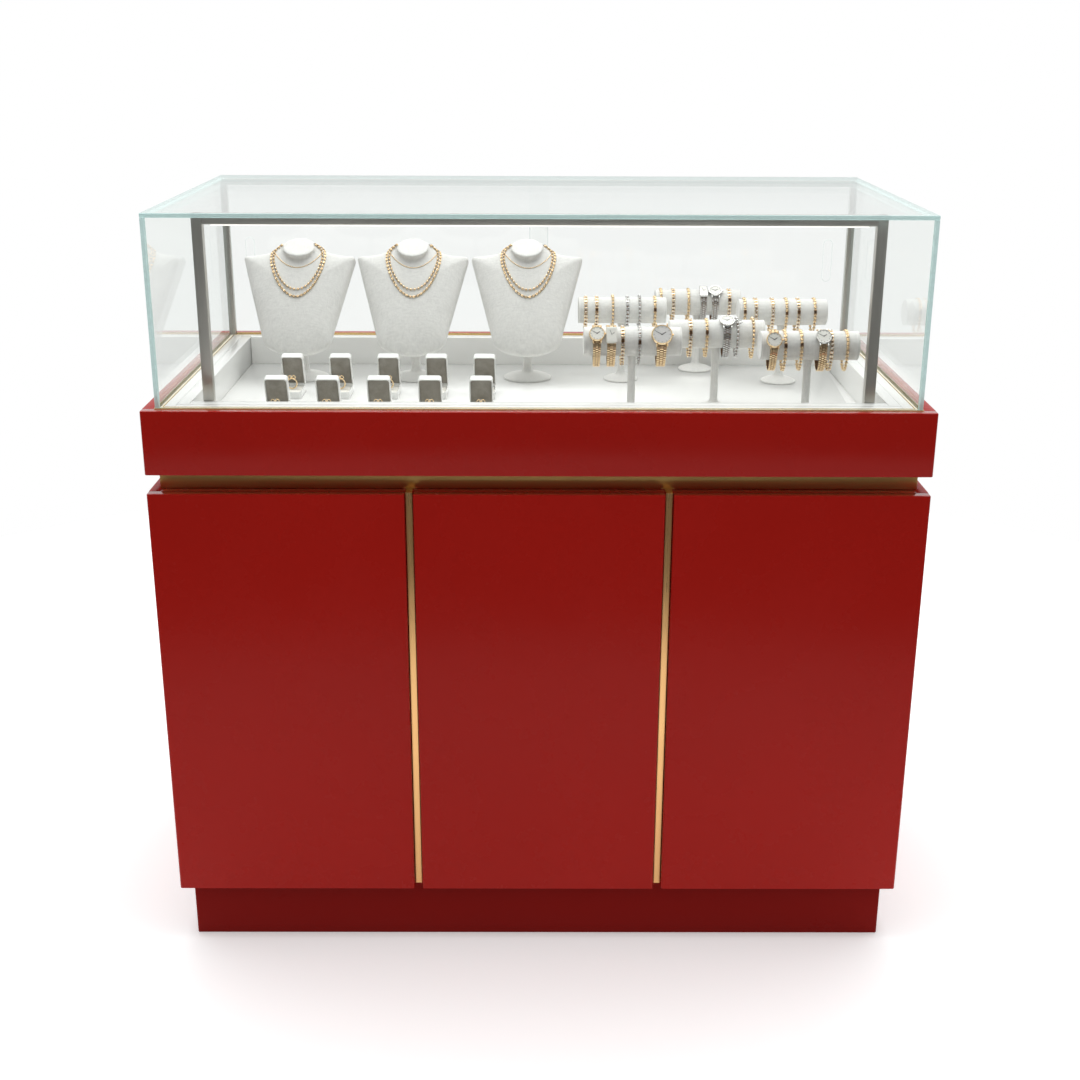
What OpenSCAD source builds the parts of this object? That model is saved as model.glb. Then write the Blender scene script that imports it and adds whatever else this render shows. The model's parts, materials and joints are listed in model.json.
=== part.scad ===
/* [Cabinet] */
// Width over the top band
width = 1200; // [1140:10:1400]
// Depth over the top band
depth = 630; // [620:5:700]
// Height of the counter top above the floor
counter_h = 920; // [860:10:960]
// Height of the recessed plinth
plinth_h = 98; // [80:1:120]
// Setback of the plinth behind the front and the ends
plinth_set = 19; // [10:1:40]
// Thickness of the cabinet boards
board_t = 18; // [16:1:18]
// Overhang of the counter behind the storage doors
rear_set = 27; // [26:1:40]
// Pitch of the two vertical gold strips
strip_pitch = 400; // [340:10:460]
// Width of the grooves that hold the gold strips
groove_w = 13; // [12:1:20]

/* [Counter] */
// Height of the band round the counter
band_h = 100; // [96:1:110]
// Height of the gold recess under the band
reveal_h = 30; // [24:1:40]
// Depth of the gold recess at the front
reveal_front = 35; // [30:1:38]
// Depth of the gold recess at the ends and the rear
reveal_side = 14; // [10:1:18]
// Depth of the display tray below the counter top
tray_depth = 50; // [40:1:50]
// Distance from the glass to the inside of the tray
tray_inset = 45; // [44:1:60]

/* [Hood] */
// Height of the glass hood above the counter top
hood_h = 290; // [270:10:340]
// Thickness of the fixed panes
glass_t = 6; // [5:1:8]
// Thickness of the sliding panes
door_glass_t = 5; // [4:1:5]
// Overlap of the two sliding panes when shut
pane_overlap = 34; // [20:1:60]
// Side of the light frame's square tube
light_tube = 16; // [14:1:20]
// Side of the rear corner posts
post_w = 12; // [10:1:12]

/* [Display] */
// Pitch of the necklace busts
bust_pitch = 200; // [196:1:202]
// Lean of the necklace busts from upright
bust_lean = 32; // [26:1:34]
// Length of the bracelet bars
roll_len = 155; // [120:1:160]
// Radius of the bracelet bars
roll_r = 23; // [18:1:25]
// Pitch of the ring boxes along a row
box_pitch = 82; // [60:1:82]
// Angle at which the ring box lids stand open
lid_open = 69; // [40:1:90]

/* [Hidden] */

$fn = 48;
red = [0.50, 0.06, 0.05];
gold = [0.80, 0.62, 0.33];
steel = [0.55, 0.54, 0.51];
white = [0.93, 0.93, 0.92];
pane = [0.80, 0.92, 0.90, 0.35];
linen = [0.88, 0.88, 0.85];

eps = 0.1;             // overshoot of cutters
glue = 0.2;            // joint line between pieces that only touch
hx = width / 2;
hy = depth / 2;
ix = hx - board_t;     // inside face of the end boards
front_y = -hy;
back_y = hy - rear_set;
body_top = counter_h - band_h - reveal_h;
band_z = counter_h - band_h;
inner_top = body_top - board_t;
inner_bottom = plinth_h + board_t;
strip_x = strip_pitch / 2;
strip_w = 10;
strip_recess = 8;
panel_y = front_y + board_t;
carcass_y = panel_y + board_t;
gold_t = 1.5;
edge_r = 4;

door_gap = 3;          // at the hinge edge, where the leaves sit
door_play = 2;         // at the top, the bottom and the meeting edges
door_in = back_y - board_t;
door_bottom = inner_bottom + door_play;
door_top = inner_top - door_play;
leaf_t = 1.2;
leaf_w = 28;
knuckle_r = 4;
pin_r = 2;
pin_play = 0.05;
hinge_h = 60;
hinge_x = ix - door_gap / 2;
hinge_y = back_y + knuckle_r + 0.2;
hinge_zs = [door_bottom + 70, door_top - 70 - hinge_h];

lock_x = 40;
lock_z = 520;
barrel_r = 9.5;
plug_r = 5.5;
cam_t = 2.5;
cam_in = door_in - 10;
cam_len = 37;
pull_z = 620;
pull_span = 96;
pull_reach = 20;

shelf_z = 440;
shelf_pin_r = 2.5;
shelf_depth = 235;     // distance of the shelf's rear edge from the middle

channel_w = 11.8;
channel_wall = 1.1;
channel_h = 16;
channel_z = counter_h + 0.5 - channel_h;
glass_play = 0.2;
glass_out = ix - channel_wall - glass_play;      // outer face of the end panes
glass_out_y = hy - board_t - channel_wall - glass_play;
glass_z = channel_z + 2;
top_z = counter_h + hood_h - glass_t;            // underside of the top pane
track_in = glass_out_y - 18.3;
track_x = glass_out - post_w - 0.2;
lip = 1.4;
track_groove = 7.2;
top_track_h = 10;
floor_z = counter_h - tray_depth;
tray_floor_t = 12;
tray_x = glass_out - tray_inset;
tray_front = -glass_out_y + tray_inset + 3;
tray_back = track_in - 24.4;
ledger_z = channel_z - 0.3;
outer_groove_y = track_in + 2 * lip + 1.5 * track_groove;
inner_groove_y = track_in + lip + track_groove / 2;
pane_x = track_x - 0.5;
pane_low = counter_h - 4.2;
pane_high = top_z - top_track_h + 3.3;

light_x = tray_x - 18;
light_y = tray_front + 1;
bar_z = top_z - light_tube;
tube_wall = 1.5;

switch_x = 470;
outlet_x = 400;
service_z = band_z + board_t + 10;
service_h = 20;        // height of the passages under the tray
bezel_w = 15;
bezel_h = 21;
driver_lo = [300, 150, band_z + board_t];
driver_size = [150, 42, 16];
lead_r = 2;
lead_z = driver_lo[2] + 6;

bust_x0 = -420;
bust_y = 92.5;
bust_z = floor_z + 44;
bust_t = 36;
bust_h = 182;
bust_low_w = 58.5;
bust_top_w = 96;
bust_round = 29;
neck_r = 29;
neck_tilt = 26;
neck_mid = [0, 165, floor_z + 231];
// Half outline of a bust: a rounded foot, straight flanks and level shoulders.
bust_half = concat(
    [for (a = [0:10:90]) [bust_low_w * sin(a), bust_round * (1 - cos(a))]],
    [[bust_top_w - 1, bust_h - 4], [bust_top_w - 5, bust_h], [32, bust_h + 5], [0, bust_h + 5]]);
stand_y = 141;
stand_r = 43;
stand_post_r = 8;
stand_top = bust_z + 90;
tbar_r = 31;
tbar_post_r = 6.3;
tbar_axis_z = floor_z + 124;
tbar_spots = [[147, 133], [289, 216], [428, 120], [148, -143], [289, -80], [424, -172]];
box_x0 = -421;
box_w = 37.6;
box_d = 56;
box_h = 12.2;
box_wall = 1.8;
box_fronts = [-28, -197];
cushion_t = 8.6;
lid_pad = box_h - 3.8; // the lining fills the lid to this height

module block(lo, hi) translate(lo) cube(hi - lo);

module both_sides() {
    children();
    mirror([1, 0, 0]) children();
}

// Upright board with rounded vertical edges: r holds the radii of its four corners,
// from the low x, low y corner round to the low x, high y corner.
module rounded_board(lo, hi, r) {
    corners = [[lo[0], lo[1], 1, 1], [hi[0], lo[1], -1, 1],
        [hi[0], hi[1], -1, -1], [lo[0], hi[1], 1, -1]];
    translate([0, 0, lo[2]])
        linear_extrude(hi[2] - lo[2])
            difference() {
                translate([lo[0], lo[1]]) square([hi[0] - lo[0], hi[1] - lo[1]]);
                for (i = [0:3])
                    if (r[i] > 0) corner_cut(corners[i], r[i]);
            }
}

module corner_cut(c, r) {
    translate([c[0], c[1]]) mirror([c[2] < 0 ? 1 : 0, 0]) mirror([0, c[3] < 0 ? 1 : 0])
        difference() {
            translate([-eps, -eps]) square(r + eps);
            translate([r, r]) circle(r);
        }
}

// ---- Plinth and carcass ----

module plinth_rails() color(red * 0.8) {
    px = hx - plinth_set;
    py = front_y + plinth_set;
    rounded_board([-px, py, 0], [px, py + board_t, plinth_h], [3, 3, 0, 0]);
    rounded_board([-px, back_y - plinth_set - board_t, 0], [px, back_y - plinth_set, plinth_h],
        [0, 0, 3, 3]);
}

module plinth_ends() color(red * 0.8)
    both_sides() block([hx - plinth_set - board_t, front_y + plinth_set + board_t, 0],
        [hx - plinth_set, back_y - plinth_set - board_t, plinth_h]);

module carcass_boards() color(white)
    for (z = [plinth_h, inner_top]) block([-ix, carcass_y, z], [ix, back_y, z + board_t]);

module side_panels() color(red)
    both_sides() difference() {
        rounded_board([ix, panel_y, plinth_h], [hx, back_y, body_top], [0, 0, 2, 0]);
        shelf_pin_holes(ix, 1);
    }

module centre_partition() color(white)
    difference() {
        block([-board_t / 2, carcass_y, inner_bottom], [board_t / 2, door_in - door_play, inner_top]);
        shelf_pin_holes(board_t / 2, -1);
        mirror([1, 0, 0]) shelf_pin_holes(board_t / 2, -1);
        block([-board_t, cam_in - 1, lock_z - 40], [board_t, cam_in + cam_t + 1, lock_z + 10]);
    }

// Blind holes for the shelf pins in the face at x, going towards dir.
module shelf_pin_holes(x, dir) {
    for (y = [carcass_y + 40, shelf_depth - 40])
        translate([x - dir * eps, y, shelf_z - shelf_pin_r])
            rotate([0, dir * 90, 0]) cylinder(r = shelf_pin_r + 0.05, h = 8.2 + eps);
}

module front_board() color(red)
    block([-ix, panel_y, plinth_h], [ix, carcass_y, body_top]);

module front_panel_left() color(red)
    rounded_board([-hx, front_y, plinth_h], [-strip_x - groove_w / 2, panel_y, body_top],
        [edge_r, edge_r, 0, 0]);

module front_panel_centre() color(red)
    rounded_board([-strip_x + groove_w / 2, front_y, plinth_h],
        [strip_x - groove_w / 2, panel_y, body_top], [edge_r, edge_r, 0, 0]);

module front_panel_right() color(red)
    rounded_board([strip_x + groove_w / 2, front_y, plinth_h], [hx, panel_y, body_top],
        [edge_r, edge_r, 0, 0]);

// Each strip stands in its groove and turns back over the top edge to the gold band, where
// it widens in two fillets.
module gold_strips() color(gold)
    both_sides() translate([strip_x, 0, 0]) {
        reach = reveal_front - strip_recess;
        block([-strip_w / 2, front_y + strip_recess, plinth_h + 7],
            [strip_w / 2, panel_y, body_top + gold_t]);
        translate([0, front_y + strip_recess, body_top]) linear_extrude(gold_t) {
            translate([-strip_w / 2, 0]) square([strip_w, reach]);
            for (s = [0, 1]) mirror([s, 0]) translate([strip_w / 2, reach]) difference() {
                translate([-eps, -6]) square([6, 6]);
                translate([6, -6]) circle(6);
            }
        }
    }

module riser_board() color(white)
    block([-hx + reveal_side + gold_t, front_y + reveal_front + gold_t, body_top],
        [hx - reveal_side - gold_t, back_y - gold_t, band_z]);

module gold_band() color(gold)
    difference() {
        block([-hx + reveal_side, front_y + reveal_front, body_top], [hx - reveal_side, back_y, band_z]);
        block([-hx + reveal_side + gold_t, front_y + reveal_front + gold_t, body_top - eps],
            [hx - reveal_side - gold_t, back_y - gold_t, band_z + eps]);
    }

module shelves() color(white)
    both_sides() block([board_t / 2 + 0.5, carcass_y + 1, shelf_z],
        [ix - 0.5, shelf_depth, shelf_z + board_t]);

module shelf_pins() color(steel)
    both_sides() for (y = [carcass_y + 40, shelf_depth - 40])
        translate([0, y, shelf_z - shelf_pin_r]) {
            translate([board_t / 2 - 8, 0, 0]) rotate([0, 90, 0]) cylinder(r = shelf_pin_r, h = 18);
            translate([ix - 10, 0, 0]) rotate([0, 90, 0]) cylinder(r = shelf_pin_r, h = 18);
        }

// ---- Storage doors, with their hinges, pulls and cam locks ----

// Door for the right-hand bay. The left-hand one is its mirror image.
module door() color(red)
    difference() {
        rounded_board([door_play / 2, door_in, door_bottom], [ix - door_gap, back_y, door_top],
            [0, 0, 2, 2]);
        translate([lock_x, door_in - eps, lock_z]) rotate([-90, 0, 0])
            cylinder(r = barrel_r + 0.1, h = board_t + 1);
    }

module door_right() door();
module door_left() mirror([1, 0, 0]) door();

// One leaf of a butt hinge with the knuckles in parts; the leaf lies at x from lo to hi.
module hinge_leaf(lo, hi, parts)
    difference() {
        union() {
            block([lo, hinge_y - leaf_w, 0], [hi, hinge_y, hinge_h]);
            for (i = parts) knuckle(i, 0, knuckle_r);
        }
        for (i = [0:4])
            if (len(search(i, parts)) == 0) knuckle(i, 0.3, knuckle_r + 0.4);
        translate([hinge_x, hinge_y, -1]) cylinder(r = pin_r + pin_play, h = hinge_h + 2);
    }

module knuckle(i, grow, r)
    translate([hinge_x, hinge_y, i * hinge_h / 5 - grow]) cylinder(r = r, h = hinge_h / 5 + 2 * grow);

module hinge_frame_leaves() color(steel)
    both_sides() for (z = hinge_zs)
        translate([0, 0, z]) hinge_leaf(ix - leaf_t, ix, [0, 2, 4]);

module hinge_leaves_right() color(steel)
    for (z = hinge_zs)
        translate([0, 0, z]) hinge_leaf(ix - door_gap, ix - door_gap + leaf_t, [1, 3]);

module hinge_leaves_left() mirror([1, 0, 0]) hinge_leaves_right();

module hinge_pins() color(steel * 0.9)
    both_sides() for (z = hinge_zs) translate([hinge_x, hinge_y, z]) {
        cylinder(r = pin_r, h = hinge_h);
        translate([0, 0, hinge_h + 0.2]) cylinder(r = pin_r + 1.2, h = 1.5);
        translate([0, 0, hinge_h - eps]) cylinder(r = pin_r, h = 0.5);
    }

module pull_right() color(gold)
    translate([lock_x, back_y, pull_z]) {
        translate([0, pull_reach, -pull_span / 2 - 14]) cylinder(r = 4.5, h = pull_span + 28);
        for (z = [-pull_span / 2, pull_span / 2])
            translate([0, 0, z]) rotate([-90, 0, 0]) cylinder(r = 3.6, h = pull_reach);
    }

module pull_left() mirror([1, 0, 0]) pull_right();

module lock_barrel_right() color(steel)
    translate([lock_x, 0, lock_z]) rotate([-90, 0, 0]) difference() {
        union() {
            translate([0, 0, door_in - 6]) cylinder(r = barrel_r, h = board_t + 6);
            translate([0, 0, back_y]) cylinder(r = barrel_r + 2.5, h = 2);
            translate([0, 0, door_in - 5]) cylinder(r = barrel_r + 4, h = 4.8, $fn = 6);
        }
        translate([0, 0, door_in - 10]) cylinder(r = plug_r + pin_play, h = 40);
    }

module lock_barrel_left() mirror([1, 0, 0]) lock_barrel_right();

// Plug with its cam hanging down: the lock is open. A quarter turn swings the cam into the
// slot in the centre partition.
module lock_cam_right() color(steel)
    translate([lock_x, 0, lock_z]) difference() {
        union() {
            translate([0, cam_in - 3, 0]) rotate([-90, 0, 0]) cylinder(r = plug_r - 1, h = 4);
            translate([0, cam_in + cam_t - eps, 0]) rotate([-90, 0, 0])
                cylinder(r = plug_r, h = back_y + 2.4 - cam_in - cam_t);
            translate([0, cam_in, 0]) rotate([-90, 0, 0]) cylinder(r = 8, h = cam_t);
            block([-6, cam_in, -cam_len], [6, cam_in + cam_t, 0]);
        }
        block([-0.7, back_y - 4, -3.6], [0.7, back_y + 4, 3.6]);
    }

module lock_cam_left() mirror([1, 0, 0]) lock_cam_right();

// ---- Counter ----

module deck_base() color(white)
    block([-ix, -hy + board_t, band_z], [ix, hy - board_t, band_z + board_t]);

module band_front() color(red)
    rounded_board([-hx, -hy, band_z], [hx, -hy + board_t, counter_h], [edge_r, edge_r, 0, 0]);

module band_ends() color(red)
    both_sides() block([ix, -hy + board_t, band_z], [hx, hy - board_t, counter_h]);

module band_rear() color(red)
    difference() {
        rounded_board([-hx, hy - board_t, band_z], [hx, hy, counter_h], [0, 0, edge_r, edge_r]);
        block([switch_x - bezel_w / 2 - 1, hy - 4, service_z - bezel_h / 2 - 1],
            [switch_x + bezel_w / 2 + 1, hy + 1, service_z + bezel_h / 2 + 1]);
        block([switch_x - 5.6, hy - board_t - 1, service_z - 8.1],
            [switch_x + 5.6, hy, service_z + 8.1]);
        translate([outlet_x, hy - board_t - 1, service_z]) rotate([-90, 0, 0])
            cylinder(r = 11.2, h = board_t + 2);
        translate([outlet_x, hy - 3, service_z]) rotate([-90, 0, 0]) cylinder(r = 15.2, h = 4);
    }

// White frame between the band and the tray, in four boards, rebated for the glass channel.
module deck_border() color(white) {
    low = band_z + board_t;
    ox = tray_x + board_t + glue;
    oy = tray_front - board_t - glue;
    ry = tray_back + board_t + glue;
    both_sides() difference() {
        block([ox, -hy + board_t, low], [ix, hy - board_t, counter_h]);
        block([ix - channel_w - 0.1, -hy, ledger_z], [ix + 1, hy, counter_h + 1]);
        block([0, -hy, ledger_z], [ix + 1, -hy + board_t + channel_w + 0.1, counter_h + 1]);
        block([0, track_in - 0.2, ledger_z], [ix + 1, hy, counter_h + 1]);
    }
    difference() {
        block([-ox + glue, -hy + board_t, low], [ox - glue, oy, counter_h]);
        block([-ix, -hy, ledger_z], [ix, -hy + board_t + channel_w + 0.1, counter_h + 1]);
    }
    difference() {
        block([-ox + glue, ry, low], [ox - glue, hy - board_t, counter_h]);
        block([-ix, track_in - 0.2, ledger_z], [ix, hy, counter_h + 1]);
        service_passages(ry - 1, hy);
    }
}

// Passages under the tray for the supply cable and the switch's lead.
module service_passages(y0, y1) {
    low = band_z + board_t;
    block([outlet_x - 12, y0, low - 1], [outlet_x + 12, y1, low + service_h]);
    block([switch_x - 7, y0, low - 1], [switch_x + 7, y1, low + service_h]);
}

// Four walls that stand on the deck and run down past the tray floor.
module tray_walls() color(white) {
    low = band_z + board_t;
    both_sides() block([tray_x, tray_front - board_t, low],
        [tray_x + board_t, tray_back + board_t, counter_h]);
    block([-tray_x + glue, tray_front - board_t, low], [tray_x - glue, tray_front, counter_h]);
    difference() {
        block([-tray_x + glue, tray_back, low], [tray_x - glue, tray_back + board_t, counter_h]);
        service_passages(tray_back - 1, tray_back + board_t + 1);
    }
}

module tray_floor() color(white)
    difference() {
        block([-tray_x + glue, tray_front + glue, floor_z - tray_floor_t],
            [tray_x - glue, tray_back - glue, floor_z]);
        translate([light_x - light_tube / 2, light_y + light_tube / 2, floor_z - tray_floor_t - 1])
            cylinder(r = lead_r + 1, h = tray_floor_t + 2);
    }

// Channel along the front and the ends, with the slot for the panes.
module glass_channel() color(gold)
    difference() {
        block([-ix, -hy + board_t, channel_z], [ix, track_in - 0.4, counter_h + 0.5]);
        block([-ix + channel_w, -hy + board_t + channel_w, channel_z - 1],
            [ix - channel_w, hy, counter_h + 1]);
        difference() {
            block([-ix + channel_wall, -hy + board_t + channel_wall, channel_z + 1.5],
                [ix - channel_wall, hy, counter_h + 1]);
            block([-ix + channel_w - channel_wall, -hy + board_t + channel_w - channel_wall, channel_z],
                [ix - channel_w + channel_wall, hy, counter_h + 1]);
        }
    }

// Soft strip that wedges the panes in the channel.
module glazing_gasket() color([0.94, 0.91, 0.82]) {
    g = 0.1;
    in = channel_w - channel_wall - g;
    out = channel_wall + glass_play + glass_t + g;
    low = channel_z + 6;
    difference() {
        block([-ix + out, -hy + board_t + out, low], [ix - out, track_in - 0.4, counter_h]);
        block([-ix + in, -hy + board_t + in, low - 1], [ix - in, hy, counter_h + 1]);
    }
}

// ---- Glass hood ----

module glass_front() color(pane)
    block([-glass_out + glass_t + 0.1, -glass_out_y, glass_z],
        [glass_out - glass_t - 0.1, -glass_out_y + glass_t, top_z]);

module glass_ends() color(pane)
    both_sides() block([glass_out - glass_t, -glass_out_y, glass_z],
        [glass_out, glass_out_y - post_w - 0.3, top_z]);

module glass_top() color(pane)
    block([-glass_out, -glass_out_y, top_z], [glass_out, glass_out_y, top_z + glass_t]);

module square_tube(w, h) difference() {
    cube([w, w, h]);
    translate([tube_wall, tube_wall, -1]) cube([w - 2 * tube_wall, w - 2 * tube_wall, h + 2]);
}

module rear_posts() color(steel)
    both_sides() translate([glass_out - post_w, glass_out_y - post_w, ledger_z])
        square_tube(post_w, top_z - ledger_z);

// Track with two grooves, from z low to z high, open at open_z.
module track(low, high, groove_low, groove_high)
    difference() {
        block([-track_x, track_in, low], [track_x, hy - board_t - 0.2, high]);
        for (y = [inner_groove_y, outer_groove_y])
            block([-track_x - 1, y - track_groove / 2, groove_low],
                [track_x + 1, y + track_groove / 2, groove_high]);
    }

module rear_top_track() color(steel)
    difference() {
        track(top_z - top_track_h, top_z, top_z - top_track_h - 1, top_z - 1.5);
        block([-hx, glass_out_y, top_z - top_track_h - 1], [hx, hy, top_z + 1]);
    }

module rear_bottom_track() color(gold)
    track(ledger_z, counter_h + 0.5, counter_h - 4.5, counter_h + 1);

// Sliding pane centred on y, with a ground finger recess at grip_x in its rear face.
module sliding_pane(x0, x1, y, grip_x) color(pane)
    difference() {
        block([x0, y - door_glass_t / 2, pane_low], [x1, y + door_glass_t / 2, pane_high]);
        translate([grip_x, y + door_glass_t / 2 - 1.8, counter_h + 140]) {
            block([-8, 0, -30], [8, 4, 30]);
            for (z = [-30, 30]) translate([0, 0, z]) rotate([-90, 0, 0]) cylinder(r = 8, h = 4);
        }
    }

module glass_door_left() sliding_pane(-pane_x, pane_overlap / 2, outer_groove_y, -pane_x + 34);
module glass_door_right() sliding_pane(-pane_overlap / 2, pane_x, inner_groove_y, pane_x - 34);

// ---- Light frame and electrics ----

module light_posts() color(steel)
    both_sides() translate([light_x - light_tube, light_y, floor_z])
        square_tube(light_tube, top_z - floor_z);

module light_bar() color(steel)
    translate([-light_x + light_tube + 0.1, light_y, bar_z]) rotate([90, 0, 90])
        square_tube(light_tube, 2 * (light_x - light_tube) - 0.2);

module light_diffuser() color([1, 0.98, 0.92])
    block([-light_x + light_tube + 12, light_y + 3, bar_z - 2],
        [light_x - light_tube - 12, light_y + light_tube - 3, bar_z]);

module led_driver() color(white) {
    translate(driver_lo) cube(driver_size);
    for (x = [-10, driver_size[0]]) translate(driver_lo + [x, driver_size[1] / 2 - 9, 0]) difference() {
        cube([10, 18, 3]);
        translate([5, 9, -1]) cylinder(r = 2.2, h = 6);
    }
}

// Straight run of the lead from a to b, along one axis, with a round end.
module lead_run(a, b) {
    d = b - a;
    turn = abs(d[0]) > 0 ? [0, 90, 0] : abs(d[1]) > 0 ? [-90, 0, 0] : [0, 0, 0];
    low = [min(a[0], b[0]), min(a[1], b[1]), min(a[2], b[2])];
    translate(low) rotate(turn) cylinder(r = lead_r, h = norm(d), $fn = 24);
    translate(b) sphere(r = lead_r, $fn = 24);
}

module lead_route(points)
    for (i = [0:len(points) - 2]) lead_run(points[i], points[i + 1]);

// From the switch to the driver, and from the driver up inside the light post.
module led_lead() color([0.15, 0.15, 0.15]) {
    sx = driver_lo[0] + driver_size[0];
    post = [light_x - light_tube / 2, light_y + light_tube / 2];
    lead_route([[sx + 0.1, 180, lead_z], [switch_x, 180, lead_z],
        [switch_x, hy - board_t - 1, lead_z]]);
    lead_route([[sx + 0.1, 160, lead_z], [post[0], 160, lead_z], [post[0], post[1], lead_z],
        [post[0], post[1], bar_z + 6]]);
}

module switch_body() color([0.08, 0.08, 0.09])
    difference() {
        union() {
            block([switch_x - bezel_w / 2, hy - 3.8, service_z - bezel_h / 2],
                [switch_x + bezel_w / 2, hy - 2.4, service_z + bezel_h / 2]);
            block([switch_x - 5.4, hy - board_t + 1.5, service_z - 7.9],
                [switch_x + 5.4, hy - 3.8, service_z + 7.9]);
        }
        block([switch_x - 4.6, hy - 9.4, service_z - 7], [switch_x + 4.6, hy, service_z + 7]);
        translate([switch_x, hy - 5, service_z]) rocker_pivot(1.25, 12);
    }

module rocker_pivot(r, w) translate([-w / 2, 0, 0]) rotate([0, 90, 0]) cylinder(r = r, h = w);

// Rocker in its off position, tilted about the switch's cross axis.
module switch_rocker() color([0.75, 0.10, 0.08])
    translate([switch_x, hy - 5, service_z]) rotate([6, 0, 0]) {
        rotate([90, 0, 90]) translate([0, 0, -4.2]) linear_extrude(8.4)
            polygon([[-2.6, -2], [-2.6, 2], [0.6, 6.2], [3.4, 6.4], [2.2, 0], [3.4, -6.4], [0.6, -6.2]]);
        rocker_pivot(1.2, 10.4);
    }

module cable_grommet() color([0.1, 0.1, 0.1])
    translate([outlet_x, hy - board_t + 0.4, service_z]) rotate([-90, 0, 0]) difference() {
        union() {
            cylinder(r = 11, h = board_t - 3);
            translate([0, 0, board_t - 3.2]) cylinder(r = 15, h = 2.6);
        }
        translate([0, 0, -1]) cylinder(r = 8, h = 30);
    }

// ---- Display stands and boxes in the tray ----

module bust_forms() color(linen)
    for (i = [0:2]) translate([bust_x0 + i * bust_pitch, 0, 0]) difference() {
        union() {
            translate([0, bust_y, bust_z]) rotate([90 - bust_lean, 0, 0]) linear_extrude(bust_t) {
                polygon(bust_half);
                mirror([1, 0]) polygon(bust_half);
            }
            translate(neck_mid) rotate([neck_tilt, 0, 0]) translate([0, 0, -34])
                cylinder(r = neck_r, h = 34);
        }
        translate([0, stand_y, floor_z]) cylinder(r = stand_post_r + 0.2, h = stand_top + 0.5 - floor_z);
    }

// Round foot with a low domed top.
module domed_foot(r, rim, rise) {
    ball = (r * r + rise * rise) / (2 * rise);
    cylinder(r = r, h = rim);
    translate([0, 0, rim]) intersection() {
        translate([0, 0, rise - ball]) sphere(r = ball, $fn = 96);
        translate([0, 0, -eps]) cylinder(r = r, h = rise + 1);
    }
}

module bust_stands() color(linen)
    for (i = [0:2]) translate([bust_x0 + i * bust_pitch, stand_y, floor_z]) {
        domed_foot(stand_r, 3, 9);
        cylinder(r = stand_post_r, h = stand_top - floor_z);
    }

module tbar_rolls() color(linen)
    for (p = tbar_spots) translate([p[0], p[1], tbar_axis_z]) difference() {
        rotate([0, 90, 0]) translate([0, 0, -roll_len / 2]) {
            cylinder(r = roll_r - 2, h = roll_len);
            translate([0, 0, 2]) cylinder(r = roll_r, h = roll_len - 4);
        }
        translate([0, 0, -roll_r - 1]) cylinder(r = tbar_post_r + 0.2, h = 15.5);
    }

module tbar_stands() color(linen)
    for (p = tbar_spots) translate([p[0], p[1], floor_z]) {
        domed_foot(tbar_r, 2.5, 8);
        cylinder(r = tbar_post_r, h = tbar_axis_z - roll_r + 14 - floor_z);
    }

module each_box()
    for (y = box_fronts) for (i = [0:4]) translate([box_x0 + i * box_pitch, y, floor_z]) children();

// Half of a ring box, hinge edge at the back, hollow down to floor_t.
module box_shell(floor_t) difference() {
    rounded_board([-box_w / 2, 0, 0], [box_w / 2, box_d, box_h], [5, 5, 1.5, 1.5]);
    rounded_board([-box_w / 2 + box_wall, box_wall, floor_t],
        [box_w / 2 - box_wall, box_d - box_wall, box_h + 1], [4, 4, 1, 1]);
}

module ring_box_bases() color(white) each_box() box_shell(2);

module ring_box_cushions() color([0.42, 0.39, 0.35])
    each_box() difference() {
        rounded_board([-box_w / 2 + box_wall + 0.3, box_wall + 0.3, 2.1],
            [box_w / 2 - box_wall - 0.3, box_d - box_wall - 0.3, 2 + cushion_t], [4, 4, 1, 1]);
        block([-12.5, box_d / 2 - 1.8, 4], [12.5, box_d / 2 + 1.8, box_h]);
    }

module ring_box_lids() color(white)
    each_box() translate([0, box_d, box_h + 0.3]) rotate([-lid_open, 0, 0]) mirror([0, 0, 1])
        translate([0, -box_d, -box_h]) box_shell(lid_pad);

plinth_rails();
plinth_ends();
carcass_boards();
side_panels();
centre_partition();
front_board();
front_panel_left();
front_panel_centre();
front_panel_right();
gold_strips();
riser_board();
gold_band();
shelves();
shelf_pins();
door_left();
door_right();
hinge_frame_leaves();
hinge_pins();
hinge_leaves_left();
hinge_leaves_right();
pull_left();
pull_right();
lock_barrel_left();
lock_barrel_right();
lock_cam_left();
lock_cam_right();
deck_base();
band_front();
band_rear();
band_ends();
deck_border();
tray_walls();
tray_floor();
glass_channel();
glazing_gasket();
glass_front();
glass_ends();
glass_top();
rear_posts();
rear_top_track();
rear_bottom_track();
glass_door_left();
glass_door_right();
light_posts();
light_bar();
light_diffuser();
led_driver();
led_lead();
switch_body();
switch_rocker();
cable_grommet();
bust_forms();
bust_stands();
tbar_rolls();
tbar_stands();
ring_box_bases();
ring_box_cushions();
ring_box_lids();
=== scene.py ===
import json
import math
import random

import bpy
from mathutils import Matrix, Vector

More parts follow.
